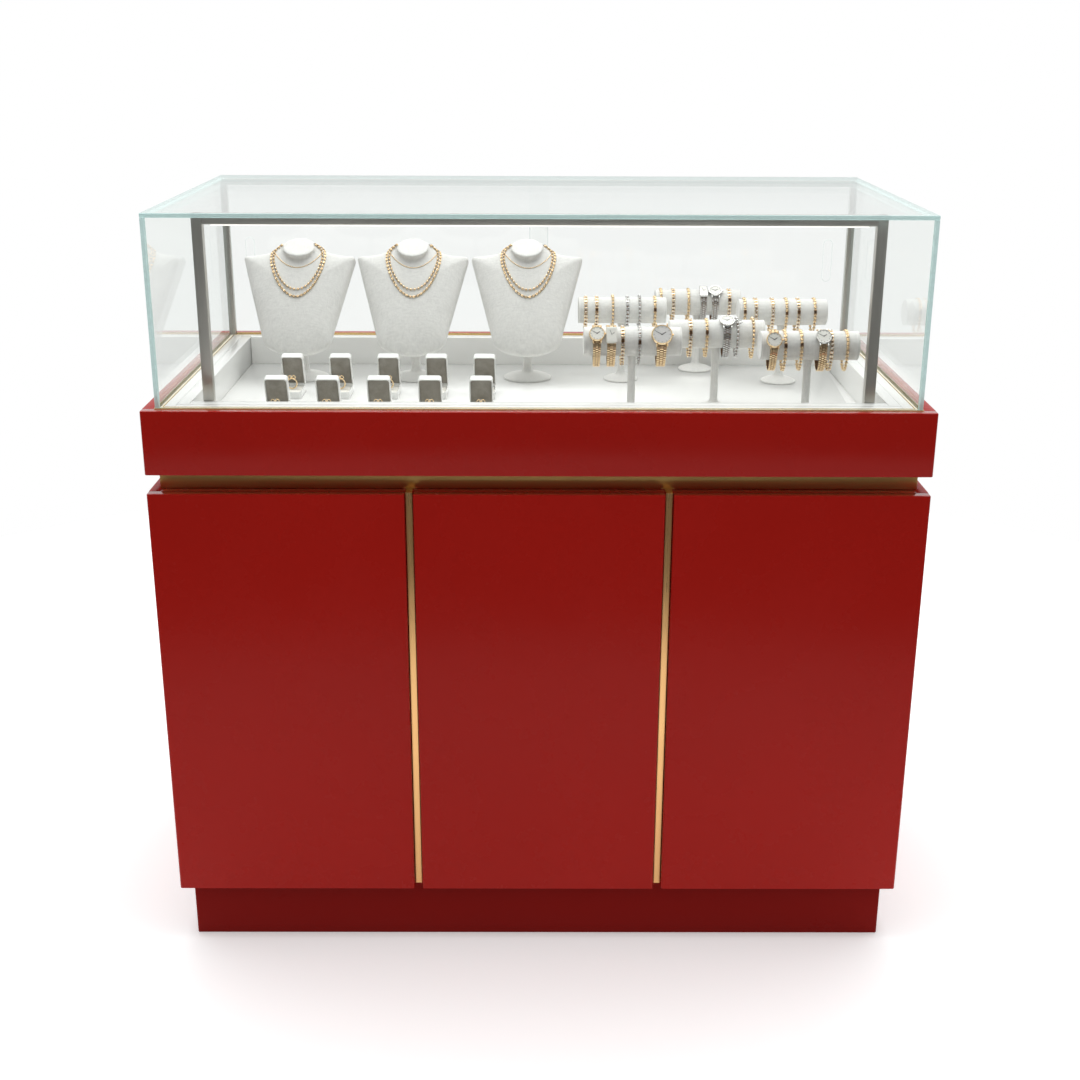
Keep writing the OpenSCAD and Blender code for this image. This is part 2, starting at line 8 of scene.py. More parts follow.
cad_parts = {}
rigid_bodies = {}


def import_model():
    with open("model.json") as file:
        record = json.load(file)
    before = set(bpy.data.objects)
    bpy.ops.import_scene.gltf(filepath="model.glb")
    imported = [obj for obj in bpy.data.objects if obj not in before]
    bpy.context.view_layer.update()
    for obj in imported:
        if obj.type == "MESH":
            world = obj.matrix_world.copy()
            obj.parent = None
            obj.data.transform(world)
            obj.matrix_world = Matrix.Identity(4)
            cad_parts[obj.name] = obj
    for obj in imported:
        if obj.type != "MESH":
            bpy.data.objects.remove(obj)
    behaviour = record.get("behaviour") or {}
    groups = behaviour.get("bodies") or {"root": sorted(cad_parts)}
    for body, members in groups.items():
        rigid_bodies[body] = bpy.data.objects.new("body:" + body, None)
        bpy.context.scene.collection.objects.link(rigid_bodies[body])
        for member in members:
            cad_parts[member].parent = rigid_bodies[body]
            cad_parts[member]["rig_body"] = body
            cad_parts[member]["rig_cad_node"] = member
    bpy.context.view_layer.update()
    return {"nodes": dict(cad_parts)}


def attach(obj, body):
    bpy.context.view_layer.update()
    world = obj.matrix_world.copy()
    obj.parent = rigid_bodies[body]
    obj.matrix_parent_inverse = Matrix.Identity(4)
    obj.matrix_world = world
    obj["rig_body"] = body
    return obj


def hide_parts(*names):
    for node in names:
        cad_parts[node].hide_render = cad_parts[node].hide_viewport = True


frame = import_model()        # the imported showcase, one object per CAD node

random.seed(11)
print("frame loaded")


# node helpers

def startMaterial(name, values):
    mat = bpy.data.materials.new(name)
    mat.use_nodes = True
    shader = mat.node_tree.nodes["Principled BSDF"]
    for socket, value in values.items():
        shader.inputs[socket].default_value = value
    return mat, mat.node_tree, shader


def addNode(tree, kind, inputs=None, **settings):
    made = tree.nodes.new("ShaderNode" + kind)
    for key, value in settings.items():
        setattr(made, key, value)
    for key, value in (inputs or {}).items():
        if isinstance(value, bpy.types.NodeSocket):
            tree.links.new(value, made.inputs[key])
        else:
            made.inputs[key].default_value = value
    return made


# camera, lights, floor

view = {
    "place": (-0.0092, -2.4727, 1.4632),
    "turn": (1.238309, -0.003728, -0.003652),
    "lens": 49.3,
}

light = {
    "keySize": (2.6, 2.0),
    "keyPlace": (0.0, 0.12, 3.1),
    "keyPower": 52.0,
    "sideSize": 1.6,
    "sidePower": 4.0,
    "backdrop": 1.0,       # what the camera sees behind the floor
    "frontGlow": 0.13,     # the studio behind the camera stays dim
    "backGlow": 0.95,
    "topGlow": 0.55,
    "floorRadius": 2.4,
    "floorGlow": 0.24,
}


def makeCamera():
    data = bpy.data.cameras.new("camera")
    data.sensor_width = 36.0
    data.lens = view["lens"]
    data.clip_end = 60.0
    camera = bpy.data.objects.new("camera", data)
    bpy.context.scene.collection.objects.link(camera)
    camera.location = view["place"]
    camera.rotation_euler = view["turn"]
    bpy.context.scene.camera = camera


def areaLight(name, place, aim, size, power):
    data = bpy.data.lights.new(name, "AREA")
    data.shape = "RECTANGLE"
    data.size, data.size_y = size
    data.energy = power
    lamp = bpy.data.objects.new(name, data)
    bpy.context.scene.collection.objects.link(lamp)
    lamp.location = place
    lamp.rotation_euler = (Vector(aim) - Vector(place)).to_track_quat("-Z", "Y").to_euler()


def makeWorld():
    world = bpy.data.worlds.new("studio")
    bpy.context.scene.world = world
    world.use_nodes = True
    tree = world.node_tree
    tree.nodes.clear()
    way = addNode(tree, "TexCoord").outputs["Generated"]
    parts = addNode(tree, "SeparateXYZ", {0: way})
    back = addNode(tree, "MapRange", {"Value": parts.outputs["Y"], "From Min": -0.35, "From Max": 0.6,
                                      "To Min": light["frontGlow"], "To Max": light["backGlow"]},
                   interpolation_type="SMOOTHSTEP")
    top = addNode(tree, "MapRange", {"Value": parts.outputs["Z"], "From Min": 0.1, "From Max": 0.9,
                                     "To Max": light["topGlow"]}, interpolation_type="SMOOTHSTEP")
    total = addNode(tree, "Math", {0: back.outputs[0], 1: top.outputs[0]})
    glow = addNode(tree, "Background", {"Color": (1, 1, 1, 1), "Strength": total.outputs[0]})
    plain = addNode(tree, "Background", {"Color": (1, 1, 1, 1), "Strength": light["backdrop"]})
    path = addNode(tree, "LightPath")
    seen = addNode(tree, "MixShader", {0: path.outputs["Is Camera Ray"], 1: glow.outputs[0],
                                       2: plain.outputs[0]})
    addNode(tree, "OutputWorld", {"Surface": seen.outputs[0]})


def makeFloor():
    bpy.ops.mesh.primitive_circle_add(vertices=96, radius=light["floorRadius"], fill_type="NGON",
                                      location=(0, 0, 0))
    floor = bpy.context.object
    floor.name = "floor"
    mat, _, _ = startMaterial("floorPaper", {
        "Base Color": (0.93, 0.93, 0.93, 1), "Roughness": 0.7, "Specular IOR Level": 0.1,
        "Emission Color": (1, 1, 1, 1), "Emission Strength": light["floorGlow"]})
    floor.data.materials.append(mat)


makeCamera()
makeWorld()
areaLight("keyLight", light["keyPlace"], (0, 0, 0.9), light["keySize"], light["keyPower"])
for side in (-1, 1):
    areaLight("sideLight%+d" % side, (side * 2.6, -1.6, 1.9), (0, 0, 0.7),
              (light["sideSize"], light["sideSize"]), light["sidePower"])
makeFloor()
bpy.context.scene.view_settings.view_transform = "Standard"
print("studio made")


# materials

def ownPlace(tree, scale=(1, 1, 1), turn=(0, 0, 0)):
    coords = addNode(tree, "TexCoord")
    mapped = addNode(tree, "Mapping", {"Vector": coords.outputs["Object"], "Scale": scale,
                                       "Rotation": turn})
    return mapped.outputs[0]


def noiseAt(tree, place, scale, detail=3.0, rough=0.5):
    return addNode(tree, "TexNoise", {"Vector": place, "Scale": scale, "Detail": detail,
                                      "Roughness": rough}).outputs["Fac"]


def spread(tree, value, low, high, fromLow=0.3, fromHigh=0.7):
    return addNode(tree, "MapRange", {"Value": value, "From Min": fromLow, "From Max": fromHigh,
                                      "To Min": low, "To Max": high}).outputs[0]


def between(tree, share, first, second):
    mix = addNode(tree, "Mix", data_type="RGBA")
    tree.links.new(share, mix.inputs["Factor"])
    mix.inputs["A"].default_value = (*first, 1)
    mix.inputs["B"].default_value = (*second, 1)
    return mix.outputs["Result"]


def sums(tree, operation, *values, **settings):
    return addNode(tree, "Math", dict(enumerate(values)), operation=operation, **settings).outputs[0]


def paint(tree, shader, share, colour, low, high):
    # base colour between two shades of one colour
    tree.links.new(between(tree, share, shade(colour, low), shade(colour, high)),
                   shader.inputs["Base Color"])


def dull(tree, shader, share, rough, low, high):
    tree.links.new(spread(tree, share, rough * low, rough * high), shader.inputs["Roughness"])


def bumpFrom(tree, shader, height, distance, strength=1.0):
    bump = addNode(tree, "Bump", {"Height": height, "Distance": distance, "Strength": strength})
    tree.links.new(bump.outputs[0], shader.inputs["Normal"])


def shade(colour, factor):
    return tuple(min(1.0, c * factor) for c in colour)


def lacquer(name, colour, rough, gloss, worn=1.10):
    # sprayed lacquer: cloudy depth, orange peel and a few dull smears
    mat, tree, shader = startMaterial(name, {"Specular IOR Level": gloss})
    place = ownPlace(tree)
    paint(tree, shader, noiseAt(tree, place, 2.2, 2), colour, 0.93, worn)
    dull(tree, shader, noiseAt(tree, place, 9, 5, 0.65), rough, 0.82, 1.25)
    bumpFrom(tree, shader, noiseAt(tree, place, 420, 2), 0.00006, 0.5)
    # the film turns glossier at a low glance
    glance = addNode(tree, "LayerWeight", {"Blend": 0.5}).outputs["Facing"]
    gain = sums(tree, "MULTIPLY", sums(tree, "POWER", glance, 3.0), 0.9, use_clamp=True)
    tree.links.new(gain, shader.inputs["Coat Weight"])
    shader.inputs["Coat Roughness"].default_value = 0.10
    return mat


def brushed(name, colour, rough, along, grain=520, metal=1.0):
    # fine lines run along the given axis
    mat, tree, shader = startMaterial(name, {"Metallic": metal})
    scale = [grain] * 3
    scale[along] = grain * 0.02
    lines = noiseAt(tree, ownPlace(tree, tuple(scale)), 1.0, 3, 0.6)
    paint(tree, shader, lines, colour, 0.86, 1.1)
    patches = noiseAt(tree, ownPlace(tree), 14, 3)
    both = sums(tree, "ADD", spread(tree, lines, -0.03, 0.03),
                spread(tree, patches, rough * 0.93, rough * 1.08))
    tree.links.new(both, shader.inputs["Roughness"])
    bumpFrom(tree, shader, lines, 0.00003, 0.2)
    return mat


def polished(name, colour, rough=0.12):
    mat, tree, shader = startMaterial(name, {"Metallic": 1.0})
    place = ownPlace(tree)
    paint(tree, shader, noiseAt(tree, place, 60, 3), colour, 0.82, 1.08)
    dull(tree, shader, noiseAt(tree, place, 900, 2), rough, 0.6, 1.6)
    return mat


def weave(name, colour, pitch=0.0011, turn=(0, 0, 0), deep=0.00022):
    # plain weave: two crossed thread directions, with slubs
    mat, tree, shader = startMaterial(name, {"Roughness": 0.92, "Sheen Weight": 0.25,
                                             "Sheen Roughness": 0.5, "Specular IOR Level": 0.15})
    place = ownPlace(tree, turn=turn)
    wobble = addNode(tree, "TexNoise", {"Vector": place, "Scale": 55.0, "Detail": 2.0})
    shift = addNode(tree, "VectorMath", {0: wobble.outputs["Color"], 1: (0.0009, 0.0009, 0.0009)},
                    operation="MULTIPLY")
    moved = addNode(tree, "VectorMath", {0: place, 1: shift.outputs[0]}, operation="ADD")
    parts = addNode(tree, "SeparateXYZ", {0: moved.outputs[0]})
    waves = [sums(tree, "SINE", sums(tree, "MULTIPLY", parts.outputs[axis], 2 * math.pi / pitch))
             for axis in ("X", "Y", "Z")]
    cross = sums(tree, "MULTIPLY", waves[0], waves[1])
    pair = sums(tree, "ADD", waves[0], waves[1])
    threads = sums(tree, "MULTIPLY_ADD", pair, waves[2], cross)
    slubs = noiseAt(tree, ownPlace(tree, (90, 900, 90), turn), 1.0, 2)
    slubsAcross = noiseAt(tree, ownPlace(tree, (900, 90, 90), turn), 1.0, 2)
    height = sums(tree, "MULTIPLY_ADD", threads, 0.22, sums(tree, "ADD", slubs, slubsAcross))
    grain = noiseAt(tree, ownPlace(tree, (330, 330, 330)), 1.0, 2, 0.7)
    tone = spread(tree, sums(tree, "ADD", height, grain), 0, 1, 1.05, 1.95)
    paint(tree, shader, tone, colour, 0.86, 1.07)
    bumpFrom(tree, shader, height, deep, 0.7)
    return mat


def pile(name, dark, pale):
    # short velvet pile
    mat, tree, shader = startMaterial(name, {"Roughness": 0.95, "Sheen Weight": 0.7,
                                             "Sheen Roughness": 0.35, "Specular IOR Level": 0.1})
    place = ownPlace(tree)
    tuft = noiseAt(tree, place, 1600, 2)
    brushMarks = noiseAt(tree, place, 70, 3)
    both = sums(tree, "ADD", tuft, brushMarks)
    tree.links.new(between(tree, spread(tree, both, 0, 1, 0.7, 1.3), dark, pale),
                   shader.inputs["Base Color"])
    bumpFrom(tree, shader, tuft, 0.0004, 0.6)
    return mat


def moulded(name, colour, rough, grain=700):
    mat, tree, shader = startMaterial(name, {"Specular IOR Level": 0.45})
    place = ownPlace(tree)
    paint(tree, shader, noiseAt(tree, place, 30, 3), colour, 0.9, 1.12)
    dull(tree, shader, noiseAt(tree, place, 45, 4), rough, 0.8, 1.25)
    bumpFrom(tree, shader, noiseAt(tree, place, grain, 2), 0.00005, 0.6)
    return mat


def paneGlass(name, tint):
    # flat thin sheet: it passes light straight through and mirrors more at a low angle
    mat, tree, shader = startMaterial(name, {})
    tree.nodes.remove(shader)
    facing = addNode(tree, "LayerWeight", {"Blend": 0.5}).outputs["Facing"]
    share = sums(tree, "MULTIPLY_ADD", sums(tree, "POWER", facing, 5.0), 0.985, 0.015)
    through = addNode(tree, "BsdfTransparent", {"Color": (*tint, 1)})
    mirror = addNode(tree, "BsdfGlossy", {"Roughness": 0.02, "Color": (0.95, 0.97, 0.96, 1)})
    wipes = noiseAt(tree, ownPlace(tree), 7, 4, 0.6)
    tree.links.new(spread(tree, wipes, 0.012, 0.05), mirror.inputs["Roughness"])
    both = addNode(tree, "MixShader", {0: share, 1: through.outputs[0], 2: mirror.outputs[0]})
    tree.links.new(both.outputs[0], tree.nodes["Material Output"].inputs["Surface"])
    return mat


def glowingEdgeGlass(name, colour, clear=0.0):
    # polished edge: the sheet's own green, with a painted glow (a weak emission) for the light the sheet
    # carries to its edge
    mat, tree, shader = startMaterial(name, {"Roughness": 0.2, "Transmission Weight": 0.2, "IOR": 1.5,
                                             "Emission Strength": 0.18, "Emission Color": (*colour, 1)})
    place = ownPlace(tree)
    depth = noiseAt(tree, ownPlace(tree, (9, 9, 160)), 1.0, 3)
    chips = noiseAt(tree, place, 260, 3)
    paint(tree, shader, spread(tree, sums(tree, "ADD", depth, chips), 0, 1, 0.8, 1.2), colour, 0.95, 1.05)
    bumpFrom(tree, shader, chips, 0.00003, 0.15)
    if clear:
        through = addNode(tree, "BsdfTransparent", {"Color": (*shade(colour, 1.1), 1)})
        both = addNode(tree, "MixShader", {0: clear, 1: shader.outputs[0], 2: through.outputs[0]})
        tree.links.new(both.outputs[0], tree.nodes["Material Output"].inputs["Surface"])
    return mat


def glowing(name, colour, strength):
    mat, tree, shader = startMaterial(name, {"Roughness": 0.5, "Emission Strength": strength,
                                             "Base Color": (0.9, 0.9, 0.88, 1)})
    dots = noiseAt(tree, ownPlace(tree, (40, 40, 40)), 1.0, 2)
    tree.links.new(between(tree, dots, shade(colour, 0.92), colour), shader.inputs["Emission Color"])
    return mat


colours = {
    "red": (0.355, 0.0100, 0.0062),
    # plinth red: the cabinet red painted darker, as painted shade for the recessed plinth near the floor
    "plinth": (0.205, 0.0050, 0.0032),
    "white": (0.80, 0.80, 0.785),
    "gold": (0.74, 0.47, 0.165),
    "strip": (0.80, 0.47, 0.20),
    "steel": (0.50, 0.485, 0.45),
    "linen": (0.80, 0.795, 0.77),
    "jewelGold": (0.93, 0.71, 0.44),
    "jewelSilver": (0.62, 0.62, 0.61),
}

redLacquer = lacquer("redLacquer", colours["red"], 0.26, 0.095)
# a darker copy of the red lacquer: painted shade on the plinth
shadedPlinthLacquer = lacquer("shadedPlinthLacquer", colours["plinth"], 0.32, 0.05)
whiteLacquer = lacquer("whiteLacquer", colours["white"], 0.36, 0.3, 1.03)
goldBand = brushed("goldBand", colours["gold"], 0.34, 0)
goldUpright = brushed("goldUpright", colours["strip"], 0.30, 2)
goldChannel = brushed("goldChannel", (0.82, 0.60, 0.27), 0.26, 0, 700)
goldPull = brushed("goldPull", colours["gold"], 0.24, 2, 700)
steelFrame = brushed("steelFrame", colours["steel"], 0.33, 2, metal=0.75)
steelAcross = brushed("steelAcross", colours["steel"], 0.33, 0, metal=0.75)
steelHardware = brushed("steelHardware", (0.62, 0.61, 0.59), 0.28, 2, 900)
hoodGlass = paneGlass("hoodGlass", (0.985, 0.990, 0.986))
# both edge finishes carry a painted glow
glassEdge = glowingEdgeGlass("glassEdge", (0.50, 0.68, 0.66))
clearEdge = glowingEdgeGlass("clearEdge", (0.86, 0.90, 0.89), 0.80)
creamSeal = moulded("creamSeal", (0.80, 0.74, 0.60), 0.55)
lightCover = glowing("lightCover", (1.0, 0.97, 0.90), 1.2)
driverCase = moulded("driverCase", (0.70, 0.70, 0.68), 0.5)
leadSheath = moulded("leadSheath", (0.02, 0.02, 0.02), 0.55)
blackPlastic = moulded("blackPlastic", (0.02, 0.02, 0.022), 0.3)
rockerPlastic = moulded("rockerPlastic", (0.48, 0.015, 0.01), 0.25)
linenBust = weave("linenBust", colours["linen"], turn=(math.radians(-58), 0, 0))
linenPlain = weave("linenPlain", colours["linen"])
boxLacquer = lacquer("boxLacquer", (0.84, 0.84, 0.82), 0.22, 0.45, 1.03)
boxSatin = weave("boxSatin", (0.80, 0.78, 0.72), 0.0007, deep=0.0001)
taupeVelvet = pile("taupeVelvet", (0.22, 0.20, 0.17), (0.36, 0.34, 0.30))
jewelGold = polished("jewelGold", colours["jewelGold"], 0.14)
jewelSilver = polished("jewelSilver", colours["jewelSilver"], 0.16)
# dark brown metal: the dark stones, and painted shade in the gaps of chains and bracelets
stoneAndGapShadeMetal = polished("stoneAndGapShadeMetal", (0.20, 0.11, 0.06), 0.25)
dialWhite = moulded("dialWhite", (0.78, 0.77, 0.72), 0.25, 300)
dialGrey = moulded("dialGrey", (0.62, 0.61, 0.60), 0.25, 300)
inkBlack = moulded("inkBlack", (0.02, 0.02, 0.02), 0.4)
gemStone, gemTree, gemShader = startMaterial("gemStone", {
    "Base Color": (0.95, 0.97, 1.0, 1), "Roughness": 0.02, "IOR": 2.2, "Transmission Weight": 0.7,
    "Specular IOR Level": 0.9})
bumpFrom(gemTree, gemShader, noiseAt(gemTree, ownPlace(gemTree), 700, 1), 0.0001, 0.3)
print("materials made")


# working helpers

def deselect():
    bpy.ops.object.select_all(action="DESELECT")


def pick(*pieces):
    deselect()
    for piece in pieces:
        piece.select_set(True)
    bpy.context.view_layer.objects.active = pieces[0]


def settle(piece):
    # the object goes back to the origin and keeps its place in its mesh
    pick(piece)
    bpy.ops.object.transform_apply(location=True, rotation=True, scale=True)


def smooth(piece, angle=35):
    pick(piece)
    bpy.ops.object.shade_smooth_by_angle(angle=math.radians(angle))


def applyModifier(piece, kind, **settings):
    pick(piece)
    made = piece.modifiers.new(kind.lower(), kind)
    for key, value in settings.items():
        setattr(made, key, value)
    bpy.ops.object.modifier_apply(modifier=made.name)


def roundEdges(piece, width, segments=2, angle=30):
    applyModifier(piece, "BEVEL", width=width, segments=segments, limit_method="ANGLE",
                  angle_limit=math.radians(angle), harden_normals=False)


def dress(piece, *mats):
    piece.data.materials.clear()
    for mat in mats:
        piece.data.materials.append(mat)


def hang(piece, body, slotName, *nodes):
    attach(piece, body)
    if nodes:
        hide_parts(*nodes)


def block(name, low, high, edge=0.0, segments=2):
    low, high = Vector(low), Vector(high)
    bpy.ops.mesh.primitive_cube_add(size=1, location=(low + high) / 2)
    piece = bpy.context.object
    piece.name = name
    piece.scale = high - low
    settle(piece)
    if edge:
        roundEdges(piece, edge, segments)
    return piece


def turned(name, rings, segments=32):
    # rings are (radius, height) from the bottom up; each is extruded from the last and resized
    bpy.ops.mesh.primitive_circle_add(vertices=segments, radius=rings[0][0], fill_type="NGON",
                                      location=(0, 0, rings[0][1]))
    piece = bpy.context.object
    piece.name = name
    settle(piece)
    bpy.ops.object.mode_set(mode="EDIT")
    bpy.ops.mesh.select_mode(type="FACE")
    bpy.ops.mesh.select_all(action="SELECT")
    radius, height = rings[0]
    for nextRadius, nextHeight in rings[1:]:
        bpy.ops.mesh.extrude_region_move(TRANSFORM_OT_translate={"value": (0, 0, nextHeight - height)})
        factor = nextRadius / radius
        if abs(factor - 1) > 1e-6:
            bpy.ops.transform.resize(value=(factor, factor, 1), center_override=(0, 0, nextHeight))
        radius, height = nextRadius, nextHeight
    bpy.ops.mesh.select_all(action="SELECT")
    bpy.ops.mesh.normals_make_consistent(inside=False)
    bpy.ops.object.mode_set(mode="OBJECT")
    return piece


def copyAt(source, matrix):
    twin = source.copy()
    twin.data = source.data.copy()
    bpy.context.scene.collection.objects.link(twin)
    twin.data.transform(matrix)
    return twin


def joined(parts, name):
    pick(*parts)
    if len(parts) > 1:
        bpy.ops.object.join()
    made = bpy.context.view_layer.objects.active
    made.name = name
    return made


def drop(*pieces):
    for piece in pieces:
        bpy.data.objects.remove(piece, do_unlink=True)


def outward(piece):
    pick(piece)
    bpy.ops.object.mode_set(mode="EDIT")
    bpy.ops.mesh.select_all(action="SELECT")
    bpy.ops.mesh.normals_make_consistent(inside=False)
    bpy.ops.object.mode_set(mode="OBJECT")


def frameOf(place, along, out):
    # matrix with X along, Z outward
    along = Vector(along).normalized()
    out = Vector(out)
    out = (out - along * out.dot(along)).normalized()
    side = out.cross(along)
    turn = Matrix((along, side, out)).transposed().to_4x4()
    return Matrix.Translation(Vector(place)) @ turn


# the cabinet, counter and metalwork: CAD solids with worked edges

def refine(node, edge, mats, body, slotName, segments=2, angle=30):
    source = frame["nodes"][node]
    words = node.split("_")
    piece = source.copy()
    piece.data = source.data.copy()
    piece.name = words[0] + "".join(w.capitalize() for w in words[1:])
    bpy.context.scene.collection.objects.link(piece)
    piece.parent = None
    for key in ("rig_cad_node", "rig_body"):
        if key in piece:
            del piece[key]
    pick(piece)
    bpy.ops.mesh.customdata_custom_splitnormals_clear()
    bpy.ops.object.mode_set(mode="EDIT")
    bpy.ops.mesh.select_all(action="SELECT")
    bpy.ops.mesh.remove_doubles(threshold=0.00001)
    bpy.ops.mesh.dissolve_limited(angle_limit=math.radians(0.5))
    bpy.ops.object.mode_set(mode="OBJECT")
    if edge:
        roundEdges(piece, edge, segments, angle)
    dress(piece, *mats)
    smooth(piece)
    hang(piece, body, slotName, node)
    return piece


cabinetFinish = [
    # node, edge radius, material
    ("plinth_rails", 0.0012, shadedPlinthLacquer),
    ("plinth_ends", 0.0008, shadedPlinthLacquer),
    ("side_panels", 0.0012, redLacquer),
    ("front_board", 0.0006, redLacquer),
    ("front_panel_left", 0.0012, redLacquer),
    ("front_panel_centre", 0.0012, redLacquer),
    ("front_panel_right", 0.0012, redLacquer),
    ("carcass_boards", 0.0006, whiteLacquer),
    ("centre_partition", 0.0006, whiteLacquer),
    ("riser_board", 0.0006, whiteLacquer),
    ("shelves", 0.0010, whiteLacquer),
    ("gold_band", 0.0004, goldBand),
    ("gold_strips", 0.0004, goldUpright),
    ("band_front", 0.0014, redLacquer),
    ("band_rear", 0.0010, redLacquer),
    ("band_ends", 0.0010, redLacquer),
    ("deck_base", 0.0006, whiteLacquer),
    ("deck_border", 0.0006, whiteLacquer),
    ("tray_walls", 0.0008, whiteLacquer),
    ("tray_floor", 0.0006, whiteLacquer),
    ("glass_channel", 0.0003, goldChannel),
    ("glazing_gasket", 0.0004, creamSeal),
    ("rear_posts", 0.0007, steelFrame),
    ("rear_top_track", 0.0005, steelAcross),
    ("rear_bottom_track", 0.0005, goldChannel),
    ("light_posts", 0.0009, steelFrame),
    ("light_bar", 0.0009, steelAcross),
    ("light_diffuser", 0.0006, lightCover),
    ("led_driver", 0.0010, driverCase),
    ("switch_body", 0.0004, blackPlastic),
    ("cable_grommet", 0.0006, blackPlastic),
    ("switch_rocker", 0.0004, rockerPlastic),
    ("door_left", 0.0010, redLacquer),
    ("door_right", 0.0010, redLacquer),
    ("pull_left", 0.0007, goldPull),
    ("pull_right", 0.0007, goldPull),
    ("lock_barrel_left", 0.0004, steelHardware),
    ("lock_barrel_right", 0.0004, steelHardware),
    ("lock_cam_left", 0.0003, steelHardware),
    ("lock_cam_right", 0.0003, steelHardware),
    ("ring_box_bases", 0.0005, boxLacquer),
    ("ring_box_lids", 0.0005, boxLacquer),
]
slotFor = {
    "red_lacquer": (shadedPlinthLacquer, redLacquer),
    "white_lacquer": (whiteLacquer,),
    "gold_trim": (goldBand, goldUpright, goldChannel, goldPull),
    "gasket": (creamSeal,),
    "steel_frame": (steelFrame, steelAcross, steelHardware),
    "light_cover": (lightCover,),
    "driver_case": (driverCase,),
    "switch_black": (blackPlastic,),
    "switch_red": (rockerPlastic,),
    "box_white": (boxLacquer,),
}
bodyFor = {
    "switch_rocker": "rocker",
    "door_left": "door_left",
    "door_right": "door_right",
    "pull_left": "door_left",
    "pull_right": "door_right",
    "lock_barrel_left": "door_left",
    "lock_barrel_right": "door_right",
    "lock_cam_left": "lock_left",
    "lock_cam_right": "lock_right",
}
for node, edge, mat in cabinetFinish:
    slotName = next(name for name, mats in slotFor.items() if mat in mats)
    refine(node, edge, [mat], bodyFor.get(node, "root"), slotName)

for node in ("hinge_frame_leaves", "hinge_pins", "hinge_leaves_left", "hinge_leaves_right", "shelf_pins"):
    dress(frame["nodes"][node], steelHardware)
dress(frame["nodes"]["led_lead"], leadSheath)
print("cabinet finished")


# glass hood

paneFlats = {"glass_front": 1, "glass_ends": 0, "glass_top": 2, "glass_door_left": 1, "glass_door_right": 1}
for node, axis in paneFlats.items():
    body = {"glass_door_left": "pane_left", "glass_door_right": "pane_right"}.get(node, "root")
    edgeMat = glassEdge if body == "root" else clearEdge
    pane = refine(node, 0.0007, [hoodGlass, edgeMat, clearEdge], body, "hood_glass", segments=1)
    for face in pane.data.polygons:
        edge = 2 if axis == 0 and face.normal.y > 0.5 else 1
        face.material_index = 0 if abs(face.normal[axis]) > 0.99 else edge
print("hood glazed")


# necklace busts

bust = {
    "places": (-0.420, -0.220, -0.020),
    "shift": (-0.0035, -0.0030, -0.0010),     # each form sits a little off its post
    "chainShift": (-0.0045, -0.0010, 0.0010),
    "foot": (0.0925, 0.914),      # y and z of the lower back edge
    "lean": 32.0,
    "thick": 0.036,
    "lowHalf": 0.0605,
    "topHalf": 0.0985,
    "round": 0.030,
    "height": 0.182,
    "neckMid": (0.164, 1.0995),
    "neckTilt": 26.0,
    "standY": 0.141,
    "floor": 0.870,
    "middle": 0.112,              # centre of the chest in the bust's own plane
    "voxel": 0.0018,
    "neckBlend": (0.034, 0.018),  # where the chest cover starts, and over how far
}


def bustOutline():
    # half outline in the bust's own plane: rounded foot, straight flank, shoulder rising to the neck
    half = []
    for step in range(10):
        a = math.radians(step * 10)
        half.append((bust["lowHalf"] * math.sin(a), bust["round"] * (1 - math.cos(a))))
    top = bust["height"]
    half += [(bust["topHalf"], top - 0.004), (bust["topHalf"] - 0.0025, top), (0.076, top + 0.0015),
             (0.058, top + 0.0045), (0.045, top + 0.0105), (0.036, top + 0.018), (0.029, top + 0.026),
             (0.0, top + 0.028)]
    return half + [(-x, y) for x, y in reversed(half[1:-1])]


def reachTo(outline, middle, angle):
    # distance from the middle to the outline in one direction
    way = Vector((math.cos(angle), math.sin(angle)))
    best = 0.0
    for (ax, ay), (bx, by) in zip(outline, outline[1:] + outline[:1]):
        px, py = ax - middle[0], ay - middle[1]
        ex, ey = bx - ax, by - ay
        det = ex * way.y - ey * way.x
        if abs(det) < 1e-12:
            continue
        along = (way.x * py - way.y * px) / det
        reach = (ex * py - ey * px) / det
        if -1e-6 <= along <= 1 + 1e-6 and reach > best:
            best = reach
    return best


